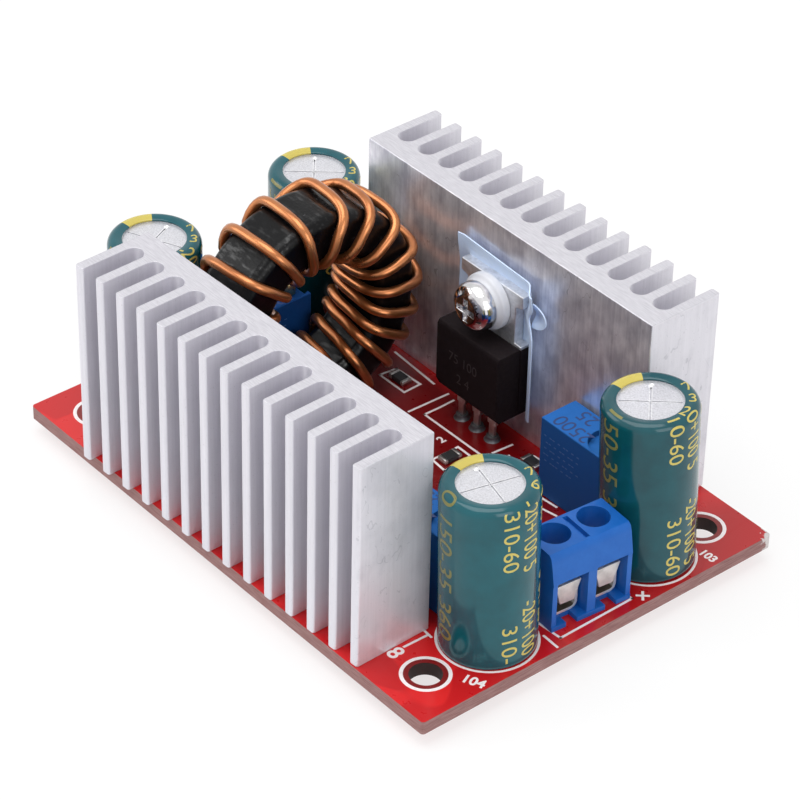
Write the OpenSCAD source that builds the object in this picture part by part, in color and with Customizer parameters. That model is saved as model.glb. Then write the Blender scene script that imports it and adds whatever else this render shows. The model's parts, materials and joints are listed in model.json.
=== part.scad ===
// Boost converter module: a circuit board that carries two finned heatsinks, a toroidal
// inductor, four capacitors, two wire terminals and three trimmers.
// Millimetres, +Z up. The origin is the middle of the board's underside, between the corner
// holes. +X is the output end, and the front heatsink lies on the -Y side.

/* [Board] */
// Thickness of the board
board_t = 1.6; // [1.2:0.1:2]
// Radius of the board's corners
board_r = 0.4; // [0.3:0.1:2]
// Board past each end of the heatsinks
end_zone = 10.7; // [10.4:0.05:14]
// Distance of the corner holes from the board's ends
hole_inset_x = 5.5; // [4:0.1:6.5]
// Distance of the corner holes from the board's long edges
hole_inset_y = 5; // [3:0.1:5.5]
// Diameter of the corner holes
hole_d = 3.5; // [2.2:0.1:3.6]

/* [Heatsinks] */
// Length of a heatsink
sink_l = 45.6; // [44:0.1:56]
// Depth from the mounting face to the fin tips
sink_d = 9.6; // [8:0.1:14]
// Height of a heatsink above the board
sink_h = 25; // [22:0.5:35]
// Thickness of the wall that carries the fins, at the bottom of a groove
sink_base = 2.6; // [2.4:0.1:4]
// Number of fins
fin_n = 14; // [10:2:16]
// Thickness of a fin
fin_t = 1.2; // [0.8:0.1:1.4]
// Radius of the edges at a fin's tip
fin_edge = 0.3; // [0.1:0.05:0.35]
// How far the fin tips stand out past the board's edge
sink_over = 0.36; // [0:0.02:1]
// Turn of the front heatsink on the board, in degrees, as it was fitted
front_twist = 1.3; // [0:0.1:1.5]

/* [Heatsink screws] */
// Thread diameter of the screws from below
sink_screw_d = 2.5; // [2:0.1:2.6]
// Length of their thread above the board
sink_screw_reach = 6; // [4:0.5:9]
// Head diameter of the screws from below
sink_screw_head_d = 4.5; // [3.8:0.1:5.5]
// Head height of the screws from below
sink_screw_head_h = 1.8; // [1.7:0.1:2.4]
// Fin, counted from each end, that takes a screw
sink_screw_fin = 2; // [1:1:4]
// Distance of the screws from the mounting face
sink_screw_y = 1.9; // [1.7:0.1:2.1]

/* [Power packages] */
// Width of a package's moulded body
package_w = 10; // [9:0.1:10.6]
// Height of the moulded body
package_h = 8.7; // [8:0.1:10]
// Thickness from the back of the tab to the front of the body
package_t = 4.5; // [4:0.1:5]
// Height of the body's underside above the board
package_z = 4; // [3.2:0.1:6]
// Bevel along the body's front edges
package_bevel = 0.5; // [0.2:0.1:0.8]
// Thickness of the metal tab
tab_t = 1.3; // [1:0.1:1.5]
// Height of the tab above the body
tab_h = 6.7; // [6:0.1:7]
// Distance of the tab's hole from its top edge
tab_hole_drop = 2.75; // [2.6:0.05:3.2]
// Diameter of the tab's hole
tab_hole_d = 3.8; // [3.6:0.1:4]
// Depth of the notches in the tab's sides
tab_notch = 1.1; // [0.5:0.1:1.5]
// Height of the full-width ears at the top of the tab
tab_ear = 1.5; // [1:0.1:2.5]
// Distance between neighbouring leads
lead_pitch = 2.54; // [2.4:0.02:2.6]
// Width of a lead where it leaves the body
lead_shoulder_w = 1.3; // [1.1:0.05:1.5]
// Height of the wide part of a lead
lead_shoulder_h = 1.9; // [1:0.1:2.5]
// Width of a lead at the board
lead_w = 0.8; // [0.6:0.05:0.9]
// Thickness of a lead
lead_t = 0.5; // [0.4:0.05:0.6]
// Distance of the leads from the back of the tab
lead_y = 2.6; // [2.2:0.1:2.8]
// Thickness of the insulating pad
pad_t = 0.3; // [0.2:0.05:0.5]
// Width of the insulating pad
pad_w = 12.4; // [11:0.1:14]
// Height of the insulating pad
pad_h = 18.2; // [17.5:0.1:19]
// Height of the pad's lower edge above the board
pad_z = 3; // [2:0.1:3.4]
// Thread diameter of a package's screw
package_screw_d = 3; // [2.5:0.1:3]
// Reach of that screw into the heatsink
package_screw_reach = 2.3; // [1.5:0.1:2.4]
// Head diameter of a package's screw
package_screw_head_d = 5.6; // [5:0.1:5.8]
// Head height of a package's screw
package_screw_head_h = 2.1; // [1.8:0.1:2.6]
// Flange diameter of the insulating bush
bush_d = 6.5; // [6.2:0.1:7.6]
// Thickness of the bush in front of the tab
bush_t = 1.6; // [1.3:0.1:2]
// Width of the step around the bush's flange
bush_step = 0.4; // [0.2:0.05:0.5]

/* [Inductor] */
// Outer diameter of the core
core_od = 25.8; // [25:0.1:28]
// Inner diameter of the core
core_id = 15.2; // [14:0.1:15.6]
// Height of the core along its axis
core_h = 7.4; // [7:0.1:10]
// Bevel along the core's edges
core_bevel = 0.8; // [0.3:0.1:0.9]
// Height of the core's underside above the board
core_lift = 0.6; // [0.55:0.05:1.5]
// Diameter of the copper wire
wire_d = 1.15; // [0.9:0.05:1.2]
// Number of turns
turns = 19; // [17:1:19]
// Arc at the bottom of the core that stays free of turns, in degrees
coil_gap = 38; // [38:1:60]
// Radius of the wire's bends round the core's edges, at the middle of the wire
wire_bend = 1.36; // [1.2:0.02:1.5]
// Lean of a turn across the core, in degrees
turn_lean = 8; // [0:0.5:9]
// Sideways drift of the turns on the right-hand side, in degrees
turn_drift = 9; // [0:0.5:9]
// Gap between the winding and the heatsinks
coil_room = 0.65; // [0.65:0.05:2]
// Shift of the inductor from the middle, towards the rear heatsink
coil_shift = -0.6; // [-0.6:0.05:0.6]

/* [Capacitors] */
// Diameter of a capacitor's can
can_d = 10; // [8:0.1:10.2]
// Height of a capacitor's can
can_h = 19.9; // [12:0.1:22]
// Radius of the can's top edge
can_edge = 0.9; // [0.4:0.1:1.2]
// Thickness of the printed sleeve
sleeve_t = 0.12; // [0.08:0.01:0.2]
// Diameter of the bare disc that the sleeve leaves on top
disc_d = 7; // [5.5:0.1:7.4]
// How far the disc lies below the sleeve's round edge
disc_dip = 0.3; // [0.1:0.05:0.5]
// Distance between a capacitor's leads
can_lead_pitch = 5; // [4:0.1:5.5]
// Diameter of a capacitor's leads
can_lead_d = 0.6; // [0.5:0.05:0.8]
// Width of the scored cross on the can's top
score_w = 0.22; // [0.1:0.02:0.3]
// Depth of the scored cross
score_depth = 0.12; // [0.05:0.01:0.2]
// Gap between a capacitor and the terminal beside it
can_gap = 0.8; // [0.7:0.05:1.2]
// Gap between a capacitor and the board's end
can_inset = 0.7; // [0.4:0.05:0.9]
// Lean of the front output capacitor, in degrees, as it was soldered
front_lean = 1.1; // [0:0.1:1.5]
// Lean of the rear output capacitor, in degrees, as it was soldered
rear_lean = 2.2; // [0:0.1:2.5]

/* [Terminals] */
// Distance between a terminal's two poles
pole_pitch = 5; // [4.8:0.02:5.2]
// Depth of a terminal along the wire
terminal_d = 7.7; // [7.4:0.1:8]
// Height of a terminal
terminal_h = 9.45; // [9.2:0.05:12]
// Length of the flat top along the wire
terminal_top = 4.9; // [4.6:0.1:5.2]
// Thickness of the wall at each side
terminal_wall = 0.6; // [0.5:0.05:0.9]
// Width of the chamber for a wire
chamber_w = 3.9; // [3.7:0.05:4.1]
// Thickness of the floor under the chambers
floor_t = 0.6; // [0.5:0.05:1]
// Height of the wire windows' upper edge above the board
window_top = 6; // [5.8:0.1:6.4]
// How far the pillars between the windows stand back from the feet
pillar_back = 0.1; // [0.1:0.05:0.6]
// Width of the slots between the feet
foot_slot = 1.4; // [0.8:0.1:2]
// Diameter of the screwdriver holes
driver_hole_d = 3.5; // [3.4:0.1:4]
// Distance of a terminal's feet from the output end of the board
output_inset = 1.95; // [1.6:0.05:2.4]
// Distance of a terminal's feet from the input end of the board
input_inset = 0.3; // [0.2:0.05:1]
// Turn of the output terminal on the board, in degrees, as it was fitted
output_twist = 4.9; // [0:0.1:5]
// How far the output parts stand off the board's middle line
output_shift = 0.45; // [0:0.05:0.5]

/* [Terminal clamps] */
// Height of a metal cage
cage_h = 4; // [3.9:0.05:4.4]
// Gap between a cage and the back of its chamber
cage_back = 0.65; // [0.3:0.05:1.2]
// Thickness of a cage's wall
cage_wall = 0.35; // [0.25:0.05:0.45]
// Thickness of the threaded plate on a cage
cage_top = 0.8; // [0.6:0.05:0.9]
// Gap between a cage and the chamber's sides
cage_gap = 0.2; // [0.1:0.05:0.3]
// Radius of a cage's lower corners
cage_r = 0.9; // [0.5:0.05:1.1]
// Side of a clamp's pin
clamp_pin = 0.9; // [0.7:0.05:1]
// Thread diameter of a clamp screw
clamp_screw_d = 2.5; // [2:0.1:2.6]
// Head diameter of a clamp screw
clamp_head_d = 3.2; // [3:0.05:3.3]
// Head height of a clamp screw
clamp_head_h = 1.3; // [1:0.1:1.5]
// Travel of a clamp from rest to open
clamp_open = 1; // [0.6:0.1:1.1]
// Travel of a clamp from rest to tight
clamp_tight = 0.5; // [0.3:0.1:0.6]
// Thickness of a wire leaf
leaf_t = 0.35; // [0.25:0.05:0.4]
// Width of a wire leaf inside the cage
leaf_w = 2.4; // [2:0.05:2.5]
// Width of the leaf's front flap at its top
flap_w = 3.2; // [2.8:0.05:3.3]
// Height of the leaf's front flap
flap_h = 2.55; // [2:0.05:2.6]
// How far the flap leans out at its top
flap_lean = 0.15; // [0.1:0.05:0.3]

/* [Trimmers] */
// Length of a trimmer
trimmer_l = 9.5; // [8:0.1:9.6]
// Width of a trimmer
trimmer_w = 4.85; // [4.4:0.05:5]
// Height of a trimmer above the board
trimmer_h = 10; // [6:0.1:11]
// Distance of the adjusting screw from the end
trimmer_screw_x = 1.5; // [1.3:0.1:2]
// Distance of the adjusting screw from the back
trimmer_screw_y = 2.1; // [1.5:0.1:2.4]
// Head diameter of the adjusting screw
trimmer_head_d = 2.3; // [2:0.1:2.6]
// Shaft diameter of the adjusting screw
trimmer_shaft_d = 1.9; // [1.4:0.1:1.9]
// Depth of the shaft's bore
trimmer_bore = 3; // [2:0.5:4]
// How far the adjusting screw stands above the body
trimmer_head_up = 0.8; // [0:0.1:1]
// Diameter of the recess around the adjusting screw
recess_d = 5; // [3:0.1:5.4]
// Depth of the recess around the adjusting screw
recess_depth = 0.7; // [0.3:0.1:1.2]
// Distance between a trimmer's pins
trimmer_pin_pitch = 2.54; // [2:0.02:2.6]
// Diameter of a trimmer's pins
trimmer_pin_d = 0.55; // [0.4:0.05:0.7]
// Gap between a trimmer and the part next to it
trimmer_gap = 0.4; // [0.3:0.05:0.6]
// Distance of the current trimmer from the front heatsink
current_room = 2.6; // [2.4:0.1:3]

/* [Small parts] */
// Length of a small chip part
chip_l = 2.4; // [1.6:0.1:3.2]
// Width of a small chip part
chip_w = 1.3; // [0.8:0.1:1.6]
// Height of a small chip part
chip_h = 0.6; // [0.4:0.05:1]
// Length of a chip's metal ends
chip_end = 0.45; // [0.2:0.05:0.6]
// Length of the control circuit
ic_l = 9.9; // [8:0.1:10.2]
// Width of the control circuit's body
ic_w = 3.9; // [3.5:0.1:4.5]
// Height of the control circuit
ic_h = 1.5; // [1.2:0.1:2]
// Leads on each side of the control circuit
ic_leads = 8; // [4:1:8]
// Length of the current shunt
shunt_l = 6.4; // [5:0.1:6.6]
// Width of the current shunt
shunt_w = 3.2; // [2:0.1:3.4]

/* [Soldering] */
// Length of the leads' tails under the board
tail = 1.2; // [0.8:0.1:1.5]
// Height of a solder joint under the board
solder_h = 0.8; // [0.4:0.05:0.8]
// Width of the solder around a lead, at the board
solder_rim = 0.5; // [0.3:0.05:0.6]
// Gap between a lead and its hole in the board
lead_room = 0.15; // [0.1:0.05:0.25]

/* [Fits] */
// Clearance of parts that are fixed together
fit = 0.02; // [0.01:0.01:0.05]
// Radial clearance of screws that turn in their bores
turn_fit = 0.05; // [0.02:0.01:0.08]
// Clearance between the wire and the core
wire_fit = 0.06; // [0.05:0.01:0.15]

/* [Hidden] */
$fn = 64;
cut = 0.1;

// Layout along the board and across it
coil_d = core_od + 2 * (wire_d + wire_fit);
bay_w = coil_d + 2 * coil_room;
sink_y = bay_w / 2;
board_l = sink_l + 2 * end_zone;
board_w = bay_w + 2 * (sink_d - sink_over);
hole_x = board_l / 2 - hole_inset_x;
hole_y = board_w / 2 - hole_inset_y;

// Heatsink pattern
fin_pitch = (sink_l - fin_t) / (fin_n - 1);
fin_gap = fin_pitch - fin_t;
function fin_x(i) = -sink_l / 2 + fin_t / 2 + i * fin_pitch;
sink_screw_fins = [sink_screw_fin, fin_n - 1 - sink_screw_fin];

// Package levels above the board, and distances from the heatsink's face
body_top = package_z + package_h;
tab_top = body_top + tab_h;
package_hole_z = tab_top - tab_hole_drop;
tab_back = -pad_t;
tab_front = -pad_t - tab_t;
package_front = -pad_t - package_t;
tab_foot = package_z + package_bevel + 0.4;
bush_out = pad_t + tab_t + bush_t;

// Capacitors and terminals
sleeve_r = can_d / 2 + fit + sleeve_t;
terminal_w = pole_pitch + chamber_w + 2 * terminal_wall;
can_x = board_l / 2 - can_inset - sleeve_r;
can_y = terminal_w / 2 + can_gap + sleeve_r;
can_sites = [
  [can_x, output_shift - can_y, front_lean], [can_x, output_shift + can_y, rear_lean],
  [-can_x, -can_y, 0], [-can_x, can_y, 0]
];
lean_to = 230;
output_x = board_l / 2 - output_inset - terminal_d / 2;
input_x = -board_l / 2 + input_inset + terminal_d / 2;

// Terminal levels above the board, and places along the wire
front_wall = 0.85;
chamber_back = -terminal_d / 2 + 1.2;
flap_front = terminal_d / 2 - 0.8;
cage_front = flap_front - flap_lean - leaf_t - 0.15;
cage_l = cage_front - chamber_back - cage_back;
cage_mid = cage_front - cage_l / 2;
cage_out_w = chamber_w - 2 * cage_gap;
cage_z = floor_t + cage_h;
clamp_pin_across = norm([clamp_pin, clamp_pin]);
leaf_z = cage_z - cage_top - 0.15 - clamp_open - leaf_t;
clamp_head_z = cage_z + 0.1 + clamp_tight;
chamber_top = leaf_z + flap_h + clamp_open + 0.2;
top_front = terminal_d / 2 - 0.75;
top_back = top_front - terminal_top;
shoulder_z = terminal_h * 0.55;

// Trimmers
trimmer_x = can_x - sleeve_r - trimmer_gap - trimmer_l / 2;
voltage_y = sink_y - trimmer_gap - trimmer_w / 2;
current_y = -sink_y + current_room + trimmer_w / 2;
cutoff_x = input_x + terminal_d / 2 + trimmer_gap + trimmer_w / 2;
trimmer_screw = [trimmer_l / 2 - trimmer_screw_x, trimmer_w / 2 - trimmer_screw_y];

// Inductor
coil_off = wire_d / 2 + wire_fit;
coil_x = cutoff_x + trimmer_w / 2 + trimmer_gap + wire_d + wire_fit + core_h / 2;
coil_z = board_t + core_lift + core_od / 2;
wire_ro = core_od / 2 + coil_off;
wire_ri = core_id / 2 - coil_off;
wire_x = core_h / 2 + coil_off;
wire_sides = 8;
bend_steps = 4;
first_turn = 270 - coil_gap / 2 - turn_lean / 2;
turn_step = (360 - coil_gap - turn_lean) / (turns - 1);
drift_from = floor(turns * 0.42);

// Small parts: place and turn of each chip, of the control circuit and of the shunt
chip_sites = [
  [-0.18 * board_l, 0.74 * sink_y, 0], [0.036 * board_l, 0.4 * sink_y, 90], [0.13 * board_l, 0.826 * sink_y, 0]
];
ic_site = [0.015 * board_l, -0.2 * sink_y];
shunt_site = [0.03 * board_l, -0.64 * sink_y];
ic_pitch = 1.27;
ic_lead_w = 0.4;
ic_lead_t = 0.2;
ic_reach = 1.05;

// Turns a flat outline of [y, z] points into a bar along X
module bar_x(length) { rotate([90, 0, 90]) linear_extrude(length, center = true) children(); }

// Turns a flat outline of [x, z] points into a bar along Y
module bar_y(length) { rotate([90, 0, 0]) linear_extrude(length, center = true) children(); }

// Places of the parts on the board
module at_rear_sink() { translate([0, sink_y, board_t]) children(); }
module at_front_sink() { translate([0, -sink_y, board_t]) rotate(180 + front_twist) children(); }
module at_can(i) { translate([can_sites[i][0], can_sites[i][1], board_t]) children(); }
module leaning(i) {
  lean = can_sites[i][2];
  translate([0, 0, sleeve_r * sin(lean)]) rotate(lean, [-sin(lean_to), cos(lean_to), 0]) children();
}
module at_output() { translate([output_x, output_shift, board_t]) rotate(-output_twist) children(); }
module at_input() { translate([input_x, 0, board_t]) rotate(180) children(); }
module at_pole(side) { translate([0, side * pole_pitch / 2, 0]) children(); }
module at_voltage() { translate([trimmer_x, voltage_y, board_t]) children(); }
module at_current() { translate([trimmer_x, current_y, board_t]) children(); }
module at_cutoff() { translate([cutoff_x, 0, board_t]) rotate(90) children(); }

// Repeats a part at each lead, pin or screw of the kind
module each_sink_screw() { for (i = sink_screw_fins) translate([fin_x(i), sink_screw_y, 0]) children(); }
module each_lead() {
  for (i = [-1 : 1]) translate([i * lead_pitch, tab_back - lead_y, 0]) children();
}
module each_can_lead() { for (s = [-1, 1]) translate([0, s * can_lead_pitch / 2, 0]) children(); }
module each_clamp_pin() { for (s = [-1, 1]) translate([cage_mid, s * pole_pitch / 2, 0]) children(); }
module each_trimmer_pin() { for (i = [-1 : 1]) translate([i * trimmer_pin_pitch, 0, 0]) children(); }
module each_can() { for (i = [0 : len(can_sites) - 1]) at_can(i) children(); }
module each_sink() {
  at_rear_sink() children();
  at_front_sink() children();
}
module each_terminal() {
  at_output() children();
  at_input() children();
}
module each_trimmer() {
  at_voltage() children();
  at_current() children();
  at_cutoff() children();
}
module each_wire_end() {
  for (p = [wire_start, wire_finish]) translate([p[0], p[1], board_t]) children();
}

// A hole through the board, for children of the places above
module drill(d) { translate([0, 0, -board_t - cut]) cylinder(d = d, h = board_t + 2 * cut); }

module board_outline() {
  translate([-board_l / 2 + board_r, -board_w / 2]) square([board_l - 2 * board_r, board_w]);
  translate([-board_l / 2, -board_w / 2 + board_r]) square([board_l, board_w - 2 * board_r]);
  for (x = [-1, 1]) for (y = [-1, 1])
    translate([x * (board_l / 2 - board_r), y * (board_w / 2 - board_r)]) circle(board_r);
}

module circuit_board() {
  color("firebrick") difference() {
    linear_extrude(board_t) board_outline();
    for (x = [-hole_x, hole_x]) for (y = [-hole_y, hole_y]) translate([x, y, board_t]) drill(hole_d);
    each_sink() each_sink_screw() drill(sink_screw_d + 2 * lead_room);
    each_sink() each_lead() drill(norm([lead_w, lead_t]) + 2 * lead_room);
    each_can() each_can_lead() drill(can_lead_d + 2 * lead_room);
    each_terminal() each_clamp_pin() drill(clamp_pin_across + 2 * lead_room);
    each_trimmer() each_trimmer_pin() drill(trimmer_pin_d + 2 * lead_room);
    each_wire_end() drill(wire_d + 2 * lead_room);
  }
}

// One solder joint under the board, round a lead that the child cuts out of it
module solder_cone(d) {
  difference() {
    translate([0, 0, -board_t - solder_h])
      cylinder(d1 = d + 0.3, d2 = d + 2 * lead_room + 2 * solder_rim, h = solder_h);
    translate([0, 0, -board_t - solder_h - cut]) children();
  }
}

// The shapes that leads and pins leave in the solder
module round_core(d) { cylinder(d = d + 2 * fit, h = solder_h + 2 * cut); }
module square_core(x, y) {
  translate([-x / 2, -y / 2, 0]) cube([x, y, solder_h + 2 * cut]);
}

module solder_joints() {
  color("silver") {
    each_sink() each_lead() solder_cone(norm([lead_w, lead_t])) square_core(lead_w, lead_t);
    each_can() each_can_lead() solder_cone(can_lead_d) round_core(can_lead_d);
    each_terminal() each_clamp_pin() solder_cone(clamp_pin_across) square_core(clamp_pin, clamp_pin);
    each_trimmer() each_trimmer_pin() solder_cone(trimmer_pin_d) round_core(trimmer_pin_d);
    each_wire_end() solder_cone(wire_d) round_core(wire_d);
  }
}

// Section of a heatsink: fins along +Y with round groove bottoms, mounting face at Y = 0
module fin(x) {
  translate([x - fin_t / 2, 0]) {
    square([fin_t, sink_d - fin_edge]);
    translate([fin_edge, 0]) square([fin_t - 2 * fin_edge, sink_d]);
    for (e = [fin_edge, fin_t - fin_edge]) translate([e, sink_d - fin_edge]) circle(fin_edge);
  }
}
module sink_section() {
  difference() {
    union() {
      translate([-sink_l / 2, 0]) square([sink_l, sink_base + fin_gap / 2]);
      for (i = [0 : fin_n - 1]) fin(fin_x(i));
    }
    for (i = [0 : fin_n - 2])
      translate([fin_x(i) + fin_pitch / 2, sink_base + fin_gap / 2]) circle(d = fin_gap);
  }
}
module heatsink() {
  color("gainsboro") difference() {
    linear_extrude(sink_h) sink_section();
    translate([0, -cut, package_hole_z]) rotate([-90, 0, 0])
      cylinder(d = package_screw_d + 2 * fit, h = sink_base + 2 * cut);
    each_sink_screw() translate([0, 0, -cut])
      cylinder(d = sink_screw_d + 2 * fit, h = sink_screw_reach + 3 * cut);
  }
}

// A cross recess in a screw's head, cut down from the top at Z = 0
module cross_recess(length, width, depth) {
  for (a = [0, 90]) rotate(a) translate([-length / 2, -width / 2, -depth])
    cube([length, width, depth + cut]);
}

// Round screw with a pan head: the head's seat is at Z = 0 and its thread runs down
module pan_screw(d, reach, head_d, head_h) {
  difference() {
    rotate_extrude() polygon([
      [0, -reach], [d / 2, -reach], [d / 2, 0], [head_d / 2, 0], [head_d / 2, head_h * 0.45],
      [head_d * 0.44, head_h * 0.75], [head_d * 0.28, head_h], [0, head_h]
    ]);
    translate([0, 0, head_h]) cross_recess(head_d * 0.5, head_d * 0.12, head_h * 0.5);
  }
}

module heatsink_screws() {
  color("lightgray") each_sink() each_sink_screw() translate([0, 0, -board_t]) rotate([180, 0, 0])
    pan_screw(sink_screw_d, board_t + sink_screw_reach, sink_screw_head_d, sink_screw_head_h);
}

module package_body() {
  b = package_bevel;
  color("dimgray") bar_x(package_w) polygon([
    [tab_back, package_z], [package_front + b, package_z], [package_front, package_z + 2 * b],
    [package_front, body_top - b], [package_front + b / 2, body_top], [tab_front, body_top],
    [tab_front, tab_foot], [tab_back, tab_foot]
  ]);
}

module package_tab() {
  half = package_w / 2;
  neck = half - tab_notch;
  notch_z = body_top + 0.3;
  ear_z = tab_top - tab_ear;
  color("silver") difference() {
    translate([0, tab_back, 0]) rotate([90, 0, 0]) linear_extrude(tab_t) polygon([
      [-half, tab_foot], [half, tab_foot], [half, notch_z], [neck, notch_z], [neck, ear_z - 0.3],
      [half, ear_z], [half, tab_top], [-half, tab_top], [-half, ear_z], [-neck, ear_z - 0.3],
      [-neck, notch_z], [-half, notch_z]
    ]);
    translate([0, tab_back + cut, package_hole_z]) rotate([90, 0, 0])
      cylinder(d = tab_hole_d, h = tab_t + 2 * cut);
  }
}

module package_leads() {
  color("silver") each_lead() {
    translate([-lead_shoulder_w / 2, -lead_t / 2, package_z - lead_shoulder_h])
      cube([lead_shoulder_w, lead_t, lead_shoulder_h]);
    translate([-lead_w / 2, -lead_t / 2, -board_t - tail])
      cube([lead_w, lead_t, board_t + tail + package_z - lead_shoulder_h]);
  }
}

module package_pad() {
  color("lightsteelblue") difference() {
    translate([-pad_w / 2, -pad_t, pad_z]) cube([pad_w, pad_t, pad_h]);
    translate([0, cut, package_hole_z]) rotate([90, 0, 0])
      cylinder(d = tab_hole_d, h = pad_t + 2 * cut);
  }
}

module package_bush() {
  inner = package_screw_d / 2 + 3 * fit;
  collar = tab_hole_d / 2 - fit;
  seat = pad_t + tab_t;
  color("white") translate([0, 0, package_hole_z]) rotate([90, 0, 0]) rotate_extrude() polygon([
    [inner, pad_t + 0.1], [collar, pad_t + 0.1], [collar, seat], [bush_d / 2 - 0.15, seat],
    [bush_d / 2, seat + 0.15], [bush_d / 2, seat + bush_t * 0.6],
    [bush_d / 2 - bush_step, seat + bush_t * 0.8], [bush_d / 2 - bush_step - 0.1, bush_out],
    [inner, bush_out]
  ]);
}

module package_screw() {
  color("lightgray") translate([0, -bush_out, package_hole_z]) rotate([90, 0, 0])
    pan_screw(package_screw_d, bush_out + package_screw_reach, package_screw_head_d, package_screw_head_h);
}

module inductor_core() {
  r0 = core_id / 2;
  r1 = core_od / 2;
  h = core_h / 2;
  b = core_bevel;
  color("black") translate([coil_x, coil_shift, coil_z]) rotate([0, 90, 0])
    rotate_extrude($fn = 96) polygon([
      [r0, -h + b], [r0 + b, -h], [r1 - b, -h], [r1, -h + b],
      [r1, h - b], [r1 - b, h], [r0 + b, h], [r0, h - b]
    ]);
}

// Path of the wire: each turn passes the core's four edges in the order back outside, front
// outside, front inside, back inside, and then crosses the back face to the next turn
function turn_angle(k) = first_turn - turn_step * k
  - turn_drift * sin(max(0, 180 * (k - drift_from) / (turns - 1 - drift_from)));
function ring_point(r, x, a) = [coil_x + x, coil_shift + r * cos(a), coil_z + r * sin(a)];
edges = [
  [wire_ro - wire_bend, -wire_x + wire_bend, -90, 0.5],
  [wire_ro - wire_bend, wire_x - wire_bend, 0, -0.5],
  [wire_ri + wire_bend, wire_x - wire_bend, 90, 0],
  [wire_ri + wire_bend, -wire_x + wire_bend, 180, 0.9]
];
function edge_points(k, e) = [
  for (s = [0 : bend_steps])
    let (t = e[2] + 90 * s / bend_steps)
      ring_point(e[0] + wire_bend * cos(t), e[1] + wire_bend * sin(t), turn_angle(k) + e[3] * turn_lean)
];
start_rim = ring_point(wire_ro, -wire_x, turn_angle(0));
wire_start = [start_rim[0], start_rim[1]];
finish_rim = ring_point(wire_ri, -wire_x, turn_angle(turns - 1) + 0.9 * turn_lean);
wire_finish = [finish_rim[0], finish_rim[1] * 0.4];
start_lead = concat(
  [[wire_start[0], wire_start[1], -tail]],
  [for (s = [0 : bend_steps])
    let (t = 180 - 90 * s / bend_steps)
      [start_rim[0] + wire_bend * (1 + cos(t)), start_rim[1], start_rim[2] - wire_bend * (1 - sin(t))]]
);
finish_lead = [for (z = [board_t + core_lift, -tail]) [wire_finish[0], wire_finish[1], z]];
wire_path = concat(
  start_lead,
  [for (k = [0 : turns - 1]) for (i = [k == 0 ? 1 : 0 : 3]) each edge_points(k, edges[i])],
  finish_lead
);

// Sweeps a round wire along a path: the section's first axis points round the core
function unit(v) = v / norm(v);
function path_dir(p, i) = unit(p[min(i + 1, len(p) - 1)] - p[max(i - 1, 0)]);
function round_core_dir(q) = unit(cross([1, 0, 0], [0, q[1] - coil_shift, q[2] - coil_z]));
function wire_section(p, i) =
  let (t = path_dir(p, i), c = round_core_dir(p[i]), n = unit(c - (c * t) * t), b = cross(t, n))
  [for (j = [0 : wire_sides - 1])
    p[i] + wire_d / 2 * (cos(360 * j / wire_sides) * n + sin(360 * j / wire_sides) * b)];
module wire(p) {
  m = wire_sides;
  last = len(p) - 1;
  points = [for (i = [0 : last]) each wire_section(p, i)];
  sides = [for (i = [0 : last - 1]) for (j = [0 : m - 1])
    let (a = i * m + j, b = i * m + (j + 1) % m)
      each [[a, a + m, b + m], [a, b + m, b]]];
  ends = [[for (j = [0 : m - 1]) j], [for (j = [m - 1 : -1 : 0]) last * m + j]];
  polyhedron(points, concat(sides, ends));
}

module inductor_winding() { color("peru") wire(wire_path); }

// Half section of a can's wall, moved outwards by off: the round top edge and the slope to the disc
function can_wall(off) = concat(
  [[can_d / 2 + off, 0]],
  [for (t = [0 : 15 : 90])
    [can_d / 2 - can_edge + (can_edge + off) * cos(t), can_h - can_edge + (can_edge + off) * sin(t)]],
  [[disc_d / 2, can_h - disc_dip + off]]
);
function backwards(list) = [for (i = [len(list) - 1 : -1 : 0]) list[i]];

module can(turn) {
  disc_z = can_h - disc_dip;
  color("lightgray") difference() {
    rotate_extrude() polygon(concat([[0, 0]], can_wall(0), [[0, disc_z]]));
    for (a = [turn, turn + 90]) rotate(a)
      translate([-disc_d / 2 + score_w, -score_w / 2, disc_z - score_depth])
        cube([disc_d - 2 * score_w, score_w, score_depth + cut]);
  }
}

module sleeve() {
  color("darkslategray") rotate_extrude()
    polygon(concat(can_wall(fit + sleeve_t), backwards(can_wall(fit))));
}

module can_leads(i) {
  up = (sleeve_r - can_lead_pitch / 2 - can_lead_d) * sin(can_sites[i][2]);
  color("silver") each_can_lead() translate([0, 0, -board_t - tail])
    cylinder(d = can_lead_d, h = board_t + tail + up);
}

// Terminal housing: the wires enter along -X, through windows at +X
module terminal_side() {
  polygon([
    [-terminal_d / 2, 0], [terminal_d / 2, 0], [terminal_d / 2, floor_t],
    [terminal_d / 2 - pillar_back, floor_t], [terminal_d / 2 - pillar_back, window_top - 0.3],
    [terminal_d / 2 - 0.05, window_top], [top_front + 0.25, terminal_h - 0.9],
    [top_front + 0.05, terminal_h - 0.3], [top_front - 0.3, terminal_h], [top_back, terminal_h],
    [-terminal_d / 2, shoulder_z]
  ]);
}
module terminal_chamber() {
  translate([chamber_back, -chamber_w / 2, floor_t])
    cube([terminal_d, chamber_w, window_top - floor_t]);
  translate([chamber_back, -chamber_w / 2, floor_t])
    cube([terminal_d / 2 - front_wall - chamber_back, chamber_w, chamber_top - floor_t]);
  translate([cage_mid, 0, chamber_top - cut]) cylinder(d = driver_hole_d, h = terminal_h);
  translate([cage_front, -foot_slot / 2, -cut]) cube([terminal_d, foot_slot, floor_t + 2 * cut]);
  translate([cage_mid, 0, -cut]) cylinder(d = clamp_pin_across + lead_room, h = floor_t + 2 * cut);
}
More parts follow.
